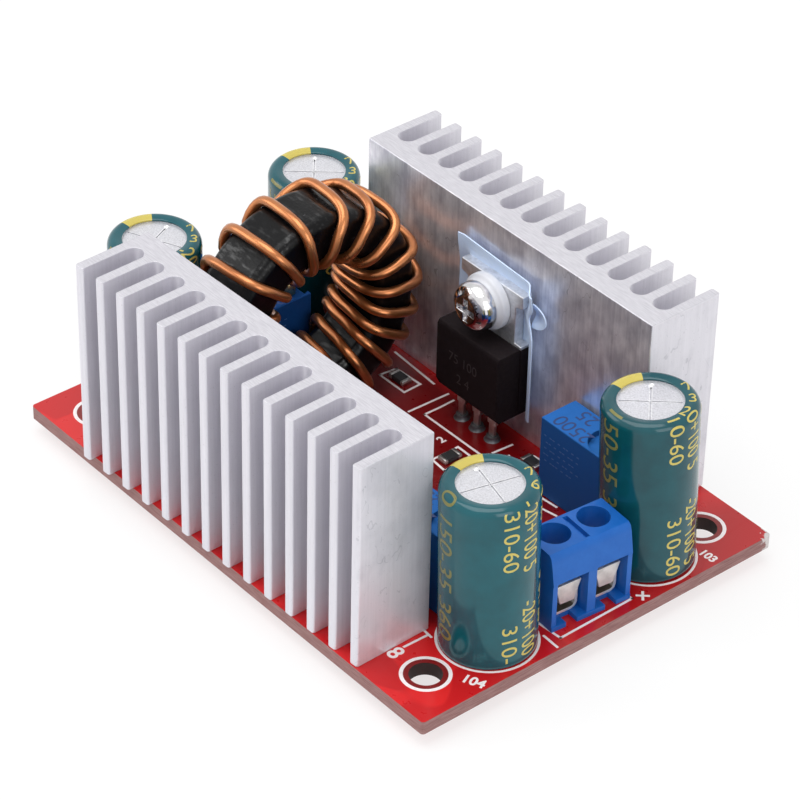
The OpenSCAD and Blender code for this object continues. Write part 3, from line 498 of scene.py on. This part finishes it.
laminate = laminateFinish()
aluminium = aluminiumFinish()
copper = copperFinish()
lacquer = coreFinish()
film = sleeveFinish("printed_sleeve", 1.0, 0.0)
# painted shade: the rear output sleeve is a darker copy of the film
rearShadedFilm = sleeveFinish("rear_sleeve_painted_shade", 0.8, 0.0)
# painted shade: the input sleeves darken low down
shadedFilm = sleeveFinish("shaded_sleeve", 1.0, 0.75)
tinned = steelFinish("tinned_metal", (0.62, 0.60, 0.57), 0.34, 0.9)
tabMetal = steelFinish("tab_metal", (0.80, 0.81, 0.84), 0.38, 1.4, 0.75)
bright = steelFinish("bright_screw", (0.80, 0.79, 0.80), 0.16, 0.6)
canMetal = steelFinish("can_aluminium", (0.72, 0.72, 0.76), 0.42, 6.0, 0.6)
leafMetal = steelFinish("leaf_plate", (0.74, 0.72, 0.70), 0.4, 0.8, 0.7)
cageMetal = cageFinish()
# painted highlight: whiter and less metallic than the can, for the score lips and the press mark
scoreHighlightMetal = steelFinish("score_lip_painted_highlight", (0.94, 0.94, 0.96), 0.3, 2.0, 0.3)
brass = steelFinish("turned_brass", (0.78, 0.60, 0.30), 0.3, 1.5)
solder = steelFinish("solder", (0.20, 0.20, 0.21), 0.48, 1.2, 0.8)
black = plasticFinish("black_moulding", (0.014, 0.010, 0.011), (0.020, 0.015, 0.016), 0.6, 9.0, 0.012, 0.06)
blue = plasticFinish("blue_housing", (0.006, 0.108, 0.44), (0.010, 0.125, 0.48), 0.34, 3.0, 0.01, 0.35)
# painted shade: the trimmer sides at 0.68 of the top's brightness
trimmerBlue = plasticFinish("blue_trimmer", (0.02, 0.14, 0.46), (0.024, 0.15, 0.49), 0.5, 6.0, 0.012,
                            0.12, 0.68)
# painted shade: a darker copy of the trimmer blue, for the cutoff trimmer in the shade under the core
paintedShadeBlue = plasticFinish("shaded_trimmer", (0.006, 0.05, 0.20), (0.008, 0.06, 0.22), 0.5, 6.0, 0.012, 0.12)
padBlue = plasticFinish("pad_silicone", (0.62, 0.76, 1.0), (0.66, 0.79, 1.0), 0.6, 5.0, 0.01)
white = plasticFinish("white_bush", (0.66, 0.67, 0.72), (0.71, 0.72, 0.76), 0.4, 3.0, 0.01)
ceramic = plasticFinish("chip_ceramic", (0.02, 0.02, 0.022), (0.03, 0.03, 0.03), 0.4, 6.0, 0.01)
whiteInk = inkFinish("white_ink", (0.94, 0.88, 0.88), 0.5, (0.80, 0.62, 0.62))
goldInk = inkFinish("gold_ink", (0.58, 0.48, 0.11), 0.34, (0.40, 0.35, 0.1))
# painted shade: a darker copy of the gold ink
shadedGoldInk = inkFinish("gold_ink_painted_shade", (0.20, 0.19, 0.05), 0.3, (0.10, 0.13, 0.06))
darkInk = inkFinish("dark_ink", (0.012, 0.04, 0.16), 0.5, (0.02, 0.06, 0.22))
paleInk = inkFinish("pale_ink", (0.05, 0.14, 0.38), 0.5, (0.02, 0.10, 0.32))
greyInk = inkFinish("grey_ink", (0.030, 0.026, 0.027), 0.6, (0.020, 0.017, 0.018))
print("finishes made")


# plain CAD pieces that keep their shape
dress(laminate, "circuit_board")
dress(canMetal, *(n for n in nodes if n.endswith("_can")))
dress(tinned, "control_ic_leads", *(n for n in nodes if n.endswith(("can_leads", "_pins"))))

# CAD pieces with rounded edges, width in mm
soften(aluminium, 0.1, "front_heatsink", "rear_heatsink")
soften(bright, 0.08, "heatsink_screws")
for package in ("mosfet", "rectifier"):
    soften(black, 0.11, package + "_body", clamp=True)
    soften(tabMetal, 0.1, package + "_tab")
    soften(tinned, 0.07, package + "_leads")
    soften(white, 0.12, package + "_bush")
    soften(bright, 0.07, package + "_screw")
for end in ("output", "input"):
    soften(blue, 0.1, end + "_terminal_housing", clamp=True)
    soften(cageMetal, 0.06, end + "_cages")
    soften(leafMetal, 0.05, end + "_minus_leaf", end + "_plus_leaf", taper=0.28)
    soften(bright, 0.08, end + "_minus_screw", end + "_plus_screw")
for job in ("voltage", "current", "cutoff"):
    soften(paintedShadeBlue if job == "cutoff" else trimmerBlue, 0.14, job + "_trimmer_body")
    soften(brass, 0.08, job + "_trimmer_screw")
soften(black, 0.06, "control_ic_body")
soften(ceramic, 0.05, "chip_bodies")
soften(tinned, 0.06, "chip_ends")
soften(black, 0.08, "current_shunt")
print("CAD pieces dressed")


# inductor core, turned about X
def makeCore():
    shape = {"edge": 1.2, "steps": 160, "arc": 7}
    low, high = (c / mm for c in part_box("inductor_core"))
    outer, half = (high.z - low.z) / 2, (high.x - low.x) / 2
    inner, e = coil["innerD"] / 2, shape["edge"]
    outline = []
    corners = ((outer - e, half - e), (inner + e, half - e), (inner + e, -half + e), (outer - e, -half + e))
    for k, (radius, x) in enumerate(corners):
        turns = [math.radians(90.0 * k + 90.0 * i / shape["arc"]) for i in range(shape["arc"] + 1)]
        outline += [(radius + e * math.cos(t), x + e * math.sin(t)) for t in turns]
    bm = turned(outline, middleOf("inductor_core"), "X", shape["steps"])
    addPiece("inductor_core_shaped", bm, lacquer, replaced=("inductor_core",))


# winding: degrees round the core at which each turn passes its four edges
coil = {
    "innerD": 15.2, "wire": 1.15, "gap": 0.31, "square": 3.0, "steps": 9, "skip": 4, "eased": 3, "facets": 7,
    "tail": 1.2, "bend": 0.6, "land": 0.6, "tails": [(-19.27, -5.89), (-19.27, 1.16)],
    "backOut": [251, 234, 217, 199, 181, 161, 140, 122, 102, 76, 56, 48, 22, 10, -11, -26, -39, -52, -68],
    "frontOut": [243, 226, 208, 191, 173, 156, 138, 121, 103, 79, 62, 42, 20, 1, -16, -30, -47, -62, -82],
    "frontIn": [247, 230, 212, 195, 177, 153, 134, 118, 105, 92, 70, 46, 25, 4, -14, -30, -43, -60, -80],
    "backIn": [254, 237, 219, 202, 182, 163, 145, 126, 108, 92, 74, 44, 16, 3, -5, -21, -32, -49, -70]}


def makeWinding():
    off = coil["wire"] / 2 + coil["gap"]
    low, high = (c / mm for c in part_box("inductor_core"))
    middle = (low + high) / 2
    outer, inner = (high.z - low.z) / 2, coil["innerD"] / 2
    ring = (outer + inner) / 2
    reach = ((outer - inner) / 2 + off, (high.x - low.x) / 2 + off)

    def ringPoint(radius, x, angle):
        a = math.radians(angle)
        return middle + Vector((x, radius * math.cos(a), radius * math.sin(a)))

    def section(t):  # rounded box round the core's section, t in quarters from its back outer edge
        a = math.radians(90.0 * t - 45.0)
        bow = [math.copysign(abs(v) ** (2.0 / coil["square"]), v) for v in (math.cos(a), math.sin(a))]
        return ring + reach[0] * bow[0], reach[1] * bow[1]

    edges = []  # the angle at every edge, in the order in which the wire passes them
    for k in range(len(coil["frontOut"])):
        edges += [coil[key][k] for key in ("backOut", "frontOut", "frontIn", "backIn")]
    loop = []
    for i in range(coil["skip"], (len(edges) - 1) * coil["steps"] + 1):
        quarter = i // coil["steps"]
        radius, x = section(i / coil["steps"])
        following = edges[min(quarter + 1, len(edges) - 1)]
        begin, end = Vector(section(quarter)), Vector(section(quarter + 1))
        gone = (Vector((radius, x)) - begin).dot(end - begin) / (end - begin).length_squared
        loop.append([radius, x, edges[quarter] + (following - edges[quarter]) * gone])
    for _ in range(coil["eased"]):  # the angle eases from one edge to the next
        for i in range(1, len(loop) - 1):
            loop[i][2] = (loop[i - 1][2] + 2 * loop[i][2] + loop[i + 1][2]) / 4
    path = [ringPoint(*spot) for spot in loop]
    for spot in path:  # the last turn lies on the board
        spot.z = max(spot.z, board["top"] + coil["wire"] / 2)
    head, foot = path[0], path[-1]
    first, last = (Vector((x, y, -coil["tail"])) for x, y in coil["tails"])
    start = Vector((first.x, first.y, head.z - coil["bend"]))
    rise = [first, start]
    for i in range(1, coil["steps"]):
        t = math.radians(90.0 * i / coil["steps"])
        aside = (head - start) * (1 - math.cos(t))
        rise.append(Vector((start.x + aside.x, start.y + aside.y, start.z + coil["bend"] * math.sin(t))))
    landing = Vector((last.x, last.y, board["top"] + coil["land"]))
    drop = [foot.lerp(landing, ease(i / coil["steps"], 0.0, 1.0)) for i in range(1, coil["steps"] + 1)]
    drop.append(last)
    bm = sweep(rise + path + drop, coil["wire"] / 2)
    addPiece("inductor_winding_round", bm, copper, replaced=("inductor_winding",), smooth=50, flats=False)


def sweep(path, radius):  # a round wire along points in mm
    curve = bpy.data.curves.new("wire", "CURVE")
    curve.dimensions = "3D"
    curve.bevel_depth = radius * mm
    curve.bevel_resolution = coil["facets"]
    curve.use_fill_caps = True
    line = curve.splines.new("POLY")
    line.points.add(len(path) - 1)
    for point, spot in zip(line.points, path):
        point.co = (*(spot * mm), 1.0)
    bm = meshOf(curve)
    bmesh.ops.remove_doubles(bm, verts=bm.verts[:], dist=weld)
    bmesh.ops.recalc_face_normals(bm, faces=bm.faces[:])
    return bm


def meshOf(curve):
    holder = bpy.data.objects.new("line", curve)
    stage.collection.objects.link(holder)
    bpy.context.view_layer.update()
    drawn = holder.evaluated_get(bpy.context.evaluated_depsgraph_get())
    mesh = bpy.data.meshes.new_from_object(drawn)
    bpy.data.objects.remove(holder)
    bm = bmesh.new()
    bm.from_mesh(mesh)
    return bm


makeCore()
makeWinding()
print("inductor wound")


# capacitor sleeves: foot on the board in mm, then lean in degrees towards leanTo
can = {"outer": 5.14, "edge": 0.9, "height": 20.04, "disc": 3.5, "crest": 4.25, "film": 0.12, "wall": 0.2,
       "foot": [(0.12, 0.0), (0.02, 0.2), (0.0, 0.5)], "lip": [(0.15, 0.1), (0.0, 0.16), (0.0, 0.3)],
       "arc": 10, "steps": 128, "leanTo": 230,
       "feet": {"output_front": (27.66, -10.54, 1.1), "output_rear": (27.66, 11.44, 2.2),
                "input_front": (-27.66, -10.99, 0.0), "input_rear": (-27.66, 10.99, 0.0)},
       "stripe": {"output_front": 173, "output_rear": 173, "input_front": 171, "input_rear": 171},
       "finish": {"output_front": film, "output_rear": rearShadedFilm,
                  "input_front": shadedFilm, "input_rear": shadedFilm}}


def canPlace(place):
    x, y, lean = can["feet"][place]
    to = math.radians(can["leanTo"])
    hinge = Vector((-math.sin(to), math.cos(to), 0))
    up = board["top"] + can["outer"] * math.sin(math.radians(lean))
    return Matrix.Translation(Vector((x, y, up)) * mm) @ Matrix.Rotation(math.radians(lean), 4, hinge)


def sleeveOutline():
    r, h, e = can["outer"], can["height"], can["edge"] + can["film"]
    outline = [(r - inset, up) for inset, up in can["foot"]]
    for i in range(can["arc"] + 1):
        t = math.radians(90.0 * i / can["arc"])
        outline.append((can["crest"] + (r - can["crest"]) * math.cos(t), h - e + e * math.sin(t)))
    outline += [(can["disc"] + out, h - down) for out, down in can["lip"]]
    inner = r - can["film"] - can["wall"]
    return outline + [(inner, h - e), (inner, 0.0)]


def makeSleeve(place):
    bm = turned(sleeveOutline(), (0, 0, 0), "Z", can["steps"])
    layer = bm.loops.layers.uv.new("wrap")
    for face in bm.faces:
        heart = face.calc_center_median()
        base = math.atan2(heart.y, heart.x)
        for loop in face.loops:
            at = loop.vert.co
            swing = (math.atan2(at.y, at.x) - base + math.pi) % math.tau - math.pi
            turn = (math.degrees(base + swing) - can["stripe"][place]) / 360.0 + 0.5
            turn -= math.floor((math.degrees(base) - can["stripe"][place]) / 360.0 + 0.5)
            loop[layer].uv = (turn, at.z / mm / can["height"])
    bm.transform(canPlace(place))
    addPiece(place + "_sleeve_film", bm, can["finish"][place], replaced=(place + "_sleeve",), flats=False)


for place in can["feet"]:
    makeSleeve(place)
print("sleeves made")


# lettering: plain numbers only
letterWeld = 0.0005  # points closer than this share of the letters' size become one


def letters(text, size, bold=0.0):
    curve = bpy.data.curves.new("numbers", "FONT")
    curve.body = text
    curve.size = size
    curve.offset = bold
    bm = meshOf(curve)
    bmesh.ops.remove_doubles(bm, verts=bm.verts[:], dist=size * letterWeld)
    return bm


def thicken(bm, depth):
    bmesh.ops.recalc_face_normals(bm, faces=bm.faces[:])
    bmesh.ops.solidify(bm, geom=bm.faces[:], thickness=depth)
    bmesh.ops.recalc_face_normals(bm, faces=bm.faces[:])


def join(whole, bm):
    mesh = bpy.data.meshes.new("joined")
    bm.to_mesh(mesh)
    bm.free()
    whole.from_mesh(mesh)
    bpy.data.meshes.remove(mesh)


# columns of text: swing from the facing direction, size, character width, step to the next text;
# start: how far below the crest each column's text begins
printing = {"columns": [("310-60", 27, 2.45, 1.09, 14.4), ("-20+100 5", 55, 3.0, 0.69, 12.4),
                        ("150-35 360", -57, 3.3, 1.06, 17.0), ("3 61-20", 88, 2.4, 0.9, 13.0),
                        ("7 15-40", 116, 2.4, 0.9, 13.0)],
            "start": {"output_front": (0.75, 0.4, 2.4, -2.0, -0.4),
                      "output_rear": (-1.9, -1.4, -0.6, -0.5, -0.4),
                      "input_front": (1.0, -0.6, 0.0, -0.5, -0.4),
                      "input_rear": (4.0, -1.5, 0.0, -0.5, -0.4)},
            "spin": {"output_front": -2, "output_rear": 3, "input_front": 0, "input_rear": 0},
            "facing": -40.5, "middle": 0.35, "clear": 0.4, "lift": 0.012, "depth": 0.02, "cut": 0.3,
            "ring": 0.6, "dip": 0.1}


def gridCut(bm, step):  # flat lettering cut up finely enough to bend
    for normal in (Vector((1, 0, 0)), Vector((0, 1, 0))):
        reach = max(v.co.dot(normal) for v in bm.verts)
        for i in range(-1, int(reach / step) + 2):
            bmesh.ops.bisect_plane(bm, geom=bm.verts[:] + bm.edges[:] + bm.faces[:],
                                   plane_co=normal * i * step, plane_no=normal)


def printSleeve(place):
    e = can["edge"] + can["film"]
    bend = (can["outer"] - can["crest"] + e) / 2 * math.pi / 2
    foot = bend + can["height"] - e - printing["clear"]
    # painted shade: columns that swing the other way round the can are printed in the darker copy of the gold
    # ink
    inks = {"print": (goldInk, bmesh.new()), "painted_shade_print": (shadedGoldInk, bmesh.new())}
    for (text, swing, size, wide, pitch), start in zip(printing["columns"], printing["start"][place]):
        aim = math.radians(printing["facing"] + printing["spin"][place] + swing)
        for top in (start - pitch, start, start + pitch):
            bm = letters(text, size)
            gridCut(bm, printing["cut"])
            lost = [v for v in bm.verts if not -printing["ring"] < top + v.co.x * wide < foot]
            bmesh.ops.delete(bm, geom=lost, context="VERTS")
            for vert in bm.verts:
                down = top + vert.co.x * wide
                inward = max(0.0, -down)  # past the crest, towards the disc
                angle = aim + (vert.co.y - size * printing["middle"]) / can["outer"]
                t = min(1.0, max(0.0, 1.0 - down / bend)) * math.pi / 2
                radius = can["crest"] - inward
                radius += (can["outer"] - can["crest"] + printing["lift"]) * math.cos(t)
                height = can["height"] - e + (e + printing["lift"]) * math.sin(t)
                height -= max(0.0, down - bend) + inward * printing["dip"] / printing["ring"]
                vert.co = Vector((radius * math.cos(angle), radius * math.sin(angle), height)) * mm
            join(inks["print" if swing > 0 else "painted_shade_print"][1], bm)
    for name, (ink, whole) in inks.items():
        thicken(whole, printing["depth"] * mm)
        whole.transform(canPlace(place))
        addPiece(place + "_" + name, whole, ink, slot="brass_screw", flats=False)


# scored tops: raised lips beside the score lines and the mark of the press, whitened as a painted highlight
score = {"turn": {"output_front": -15, "output_rear": -44, "input_front": 25, "input_rear": 50},
         "dotTurn": {"output_front": 170, "output_rear": 135, "input_front": 115, "input_rear": 140},
         "long": 3.05, "aside": 0.13, "wide": 0.09, "disc": 19.6, "proud": 0.03, "dot": 0.34, "dotAt": 2.75,
         "rim": [(1.0, 0.0), (0.9, 0.1), (0.6, 0.15), (0.3, 0.06)], "hub": (0.01, 0.03), "steps": 32}


def markTop(place):
    bm = bmesh.new()
    base, half = score["disc"], score["wide"] / 2
    for turn in (0, 90):
        for side in (-1, 1):
            strip = bmesh.new()
            middle = side * score["aside"]
            low = (-score["long"], middle - half, base)
            high = (score["long"], middle + half, base + score["proud"])
            addBox(strip, low, high)
            strip.transform(Matrix.Rotation(math.radians(score["turn"][place] + turn), 4, "Z"))
            join(bm, strip)
    at = math.radians(score["dotTurn"][place])
    heart = (score["dotAt"] * math.cos(at), score["dotAt"] * math.sin(at), base)
    hub, dish = score["hub"]
    rim = [(hub, 0.0)] + [(score["dot"] * share, up) for share, up in score["rim"]] + [(hub, dish)]
    join(bm, turned(rim, heart, "Z", score["steps"]))
    bm.transform(canPlace(place))
    addPiece(place + "_score", bm, scoreHighlightMetal, slot="can_aluminium", flats=False)


for place in can["feet"]:
    printSleeve(place)
    markTop(place)
print("sleeves printed")


# white print on the board, in mm
silk = {"line": 0.28, "thick": 0.015, "ring": 0.4, "circle": 5.4, "steps": 64, "bold": 0.05,
        "strokes": [
            [(32.24, -4.69), (32.13, 5.29), (29.0, 5.1)], [(32.24, -4.69), (29.0, -4.9)],
            [(30.96, -5.8), (33.07, -5.9)], [(32.1, 6.0), (32.9, 6.9)], [(32.95, 6.05), (32.05, 6.85)],
            [(13.5, 9.1), (15.9, 9.3)], [(15.0, 7.9), (17.0, 8.3)], [(-6.93, 7.94), (-6.75, 13.42)],
            [(-5.4, 10.8), (-5.45, 8.92), (3.99, 9.0)], [(-5.4, 11.1), (-5.45, 13.1)],
            [(4.52, 10.26), (4.72, 12.83)],
            [(1.35, 4.3), (1.35, 7.97), (3.4, 7.95), (3.7, 4.1), (1.35, 4.3)],
            [(7.42, 11.62), (7.42, 13.35), (9.4, 13.5)], [(-16.5, 13.9), (-9.2, 13.42)],
            [(-14.24, 9.77), (-9.99, 9.8), (-10.06, 12.18), (-13.99, 12.0), (-14.24, 9.77)],
            [(23.45, -18.0), (23.52, -14.93)], [(22.85, -14.8), (23.95, -14.9)]],
        "digits": [  # text, place, size and turn
            ("2", -0.3, 7.0, 1.5, 90), ("8", 22.95, -20.15, 2.6, 0), ("104", 30.9, -17.0, 1.7, 24),
            ("103", 30.9, 15.75, 1.45, 4), ("6", 6.2, 10.3, 1.5, 40)]}


def inkStroke(bm, points, width):
    for begin, end in zip(points, points[1:]):
        a, b = Vector(begin), Vector(end)
        run = b - a
        side = Vector((-run.y, run.x)).normalized() * width / 2
        ahead = run.normalized() * width / 2
        corners = [a - ahead - side, b + ahead - side, b + ahead + side, a - ahead + side]
        top = (board["top"] + silk["thick"]) * mm
        bm.faces.new([bm.verts.new((c.x * mm, c.y * mm, top)) for c in corners])


def inkRing(bm, x, y, radius, width):
    low, high = board["top"], board["top"] + silk["thick"]
    rim = [(radius - width, low), (radius, low), (radius, high), (radius - width, high)]
    join(bm, turned(rim, (x, y, 0), "Z", silk["steps"]))


def printBoard():
    lines = bmesh.new()
    for points in silk["strokes"]:
        inkStroke(lines, points, silk["line"])
    for text, x, y, size, turn in silk["digits"]:
        bm = letters(text, size, silk["bold"])
        bm.transform(Matrix.Translation(Vector((x, y, board["top"] + silk["thick"])) * mm)
                     @ Matrix.Rotation(math.radians(turn), 4, "Z") @ Matrix.Scale(mm, 4))
        join(lines, bm)
    thicken(lines, silk["thick"] * mm)
    for x in (-board["holeX"], board["holeX"]):
        for y in (-board["holeY"], board["holeY"]):
            inkRing(lines, x, y, board["ringIn"] + silk["ring"], silk["ring"])
    for x, y, _ in can["feet"].values():
        inkRing(lines, x, y, silk["circle"], silk["line"])
    addPiece("board_print", lines, whiteInk, slot="white_plastic", flats=False)


printBoard()
print("board printed")


# insulating pads, curled at their free edges, in the frame of the heatsink's face
pad = {"left": -6.9, "right": 6.7, "low": 4.4, "topLeft": 21.55, "topRight": 20.75, "thick": 0.3,
       "off": 0.12, "shift": 0.35, "waistAt": 17.0, "waist": 1.3, "waistHigh": 1.3, "curl": 1.7,
       "curlFrom": 0.82, "curlEase": 0.4, "nod": 0.45, "nodFrom": 17.5, "nodTo": 21.5, "lift": 0.2,
       "liftTo": 0.06, "across": 36, "up": 48}
tongue = {"x": 5.5, "z": 17.4, "wide": 2.2, "high": 1.5, "off": 0.25, "curl": 0.6, "across": 8, "up": 16}
sinkFace = {"y": 14.76, "frontTurn": 181.3}
sinks = {"mosfet": Matrix.Translation(Vector((0, sinkFace["y"], board["top"])) * mm),
         "rectifier": Matrix.Translation(Vector((0, -sinkFace["y"], board["top"])) * mm)
         @ Matrix.Rotation(math.radians(sinkFace["frontTurn"]), 4, "Z")}


def addSheet(bm, point, across, up):  # point gives a place in mm for shares of width and height
    grid = []
    for j in range(up + 1):
        grid.append([bm.verts.new(point(i / across, j / up) * mm) for i in range(across + 1)])
    for j in range(up):
        for i in range(across):
            bm.faces.new((grid[j][i], grid[j][i + 1], grid[j + 1][i + 1], grid[j + 1][i]))


def makePad(package):
    shift = (sinks[package].inverted() @ (middleOf(package + "_pad") * mm)).x / mm + pad["shift"]

    def sheet(u, v):
        top = pad["topLeft"] + (pad["topRight"] - pad["topLeft"]) * u
        z = pad["low"] + (top - pad["low"]) * v
        waist = math.exp(-((z - pad["waistAt"]) / pad["waistHigh"]) ** 2)
        x = pad["left"] + (pad["right"] - pad["left"] - pad["waist"] * waist) * u
        out = pad["curl"] * ease(u, pad["curlFrom"], 1.0) * (1 - pad["curlEase"] * waist)
        out += pad["nod"] * ease(z, pad["nodFrom"], pad["nodTo"])
        out += pad["lift"] * ease(pad["liftTo"] - u, 0, pad["liftTo"])
        return Vector((x + shift, -pad["off"] - out, z))

    def flap(u, v):
        a = math.radians(-90 + 180 * v)
        out = tongue["off"] + tongue["curl"] * math.sin(math.pi * u / 2) ** 2
        x = tongue["x"] + shift + tongue["wide"] * u * math.cos(a)
        return Vector((x, -out, tongue["z"] + tongue["high"] * u * math.sin(a)))

    bm = bmesh.new()
    addSheet(bm, sheet, pad["across"], pad["up"])
    addSheet(bm, flap, tongue["across"], tongue["up"])
    bmesh.ops.remove_doubles(bm, verts=bm.verts[:], dist=weld)
    thicken(bm, pad["thick"] / 2 * mm)
    bm.transform(sinks[package])
    addPiece(package + "_pad_curled", bm, padBlue, replaced=(package + "_pad",), flats=False)


# moulding down both sides of the metal tab
cheek = {"half": 5.0, "thick": 0.12, "lap": 0.02, "back": -0.32, "front": -1.65, "foot": 0.6, "head": 0.06}


def makeCheeks(package):
    low, high = (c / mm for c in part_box(package + "_body"))
    middle = (sinks[package].inverted() @ (middleOf(package + "_tab") * mm)).x / mm
    foot, head = low.z + cheek["foot"] - board["top"], high.z - cheek["head"] - board["top"]
    reaches = (cheek["half"] - cheek["lap"], cheek["half"] + cheek["thick"])
    bm = bmesh.new()
    for side in (-1, 1):
        ends = [middle + side * reach for reach in reaches]
        addBox(bm, (min(ends), cheek["front"], foot), (max(ends), cheek["back"], head))
    bm.transform(sinks[package])
    addPiece(package + "_body_cheeks", bm, black, slot="black_moulding")


for package in sinks:
    makePad(package)
    makeCheeks(package)
print("pads curled")


# solder: a fillet at each joint of the CAD node, and above the board at the package leads
joint = {"hub": 0.02, "rise": (0, 0.12, 0.26, 0.42, 0.6, 0.8, 0.94, 1.0), "crown": (0.5, 1.06), "tip": 1.08,
         "steps": 28, "thin": 0.42, "above": {"reach": 0.95, "thin": 0.7, "height": 0.55}, "pitch": 2.54}


def fillet(bm, spot, reach, thin, height):
    side = []
    for s in joint["rise"]:
        flare = (1 - s) ** 2
        side.append((reach * flare + thin * (1 - flare), height * s))
    narrower, crown = joint["crown"]
    top = [(thin * narrower, height * crown), (joint["hub"], height * joint["tip"])]
    join(bm, turned([(joint["hub"], 0)] + side + top, spot, "Z", joint["steps"]))


def islands(bm):  # the vertices of each separate lump
    left = set(bm.verts)
    while left:
        found, edge = set(), [left.pop()]
        while edge:
            vert = edge.pop()
            found.add(vert)
            for link in vert.link_edges:
                other = link.other_vert(vert)
                if other in left:
                    left.discard(other)
                    edge.append(other)
        yield found


def makeSolder():
    below = bmesh.new()
    source = copyOf("solder_joints")
    for found in islands(source):
        spots = [v.co / mm for v in found]
        low = [min(s[i] for s in spots) for i in range(3)]
        high = [max(s[i] for s in spots) for i in range(3)]
        reach = (high[0] - low[0]) / 2
        spot = ((low[0] + high[0]) / 2, (low[1] + high[1]) / 2, 0)
        fillet(below, spot, reach, reach * joint["thin"], low[2] - high[2])
    source.free()
    bmesh.ops.recalc_face_normals(below, faces=below.faces[:])
    addPiece("solder_joints_flowed", below, solder, replaced=("solder_joints",), flats=False)
    above = bmesh.new()
    for package in sinks:
        middle = middleOf(package + "_leads")
        for i in (-1, 0, 1):
            fillet(above, (middle.x + i * joint["pitch"], middle.y, board["top"]), **joint["above"])
    addPiece("lead_solder", above, solder, slot="solder", flats=False)


makeSolder()
print("solder flowed")


# marks on the trimmers and the power package, plain numbers and dashes: text, place and size in mm
marks = {"lift": 0.012, "depth": 0.02, "side": 2.437,
         "number": [("2500", -1.6, 0.4, 2.6), ("25", 0.2, -2.0, 2.5)],
         "dashes": [("- -- - -- - -", -4.2, 2.7, 1.4), ("-- - -- -- -", -3.9, 1.9, 1.4),
                    ("- -- - - --", -4.1, 1.1, 1.4), ("-- - - -- - -", -4.2, 0.3, 1.4),
                    ("- --- - --", -4.0, -0.5, 1.4)],
         "package": [("75 100", -3.0, 0.2, 1.7), ("2 4", -1.6, -2.2, 1.7)]}


def markFlat(name, finish, slot, items, spot):
    bm = bmesh.new()
    for text, x, y, size in items:
        part = letters(text, size)
        part.transform(Matrix.Translation((x, y, 0)))
        join(bm, part)
    thicken(bm, marks["depth"])
    bm.transform(spot @ Matrix.Scale(mm, 4))
    addPiece(name, bm, finish, slot=slot, flats=False)


def markTrimmers():
    for job, turn in (("voltage", 0), ("current", 0), ("cutoff", 90)):
        low, high = (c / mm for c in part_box(job + "_trimmer_body"))
        heart = (low + high) / 2
        top = Vector((heart.x, heart.y, high.z + marks["lift"]))
        along = Matrix.Rotation(math.radians(turn), 4, "Z")
        back = Matrix.Rotation(math.radians(180), 4, "Z")
        markFlat(job + "_number", darkInk, "blue_trimmer", marks["number"],
                 Matrix.Translation(top * mm) @ along @ back)
        near = Matrix.Translation(Vector((0, -marks["side"], 0)) * mm)
        upright = Matrix.Rotation(math.radians(90), 4, "X")
        markFlat(job + "_dashes", paleInk, "blue_trimmer", marks["dashes"],
                 Matrix.Translation(heart * mm) @ along @ near @ upright)


def markPackage():
    low, high = (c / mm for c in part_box("mosfet_body"))
    heart = Vector(((low.x + high.x) / 2, low.y - marks["lift"], (low.z + high.z) / 2))
    markFlat("mosfet_number", greyInk, "black_moulding", marks["package"],
             Matrix.Translation(heart * mm) @ Matrix.Rotation(math.radians(90), 4, "X"))


markTrimmers()
markPackage()
print("marks printed")
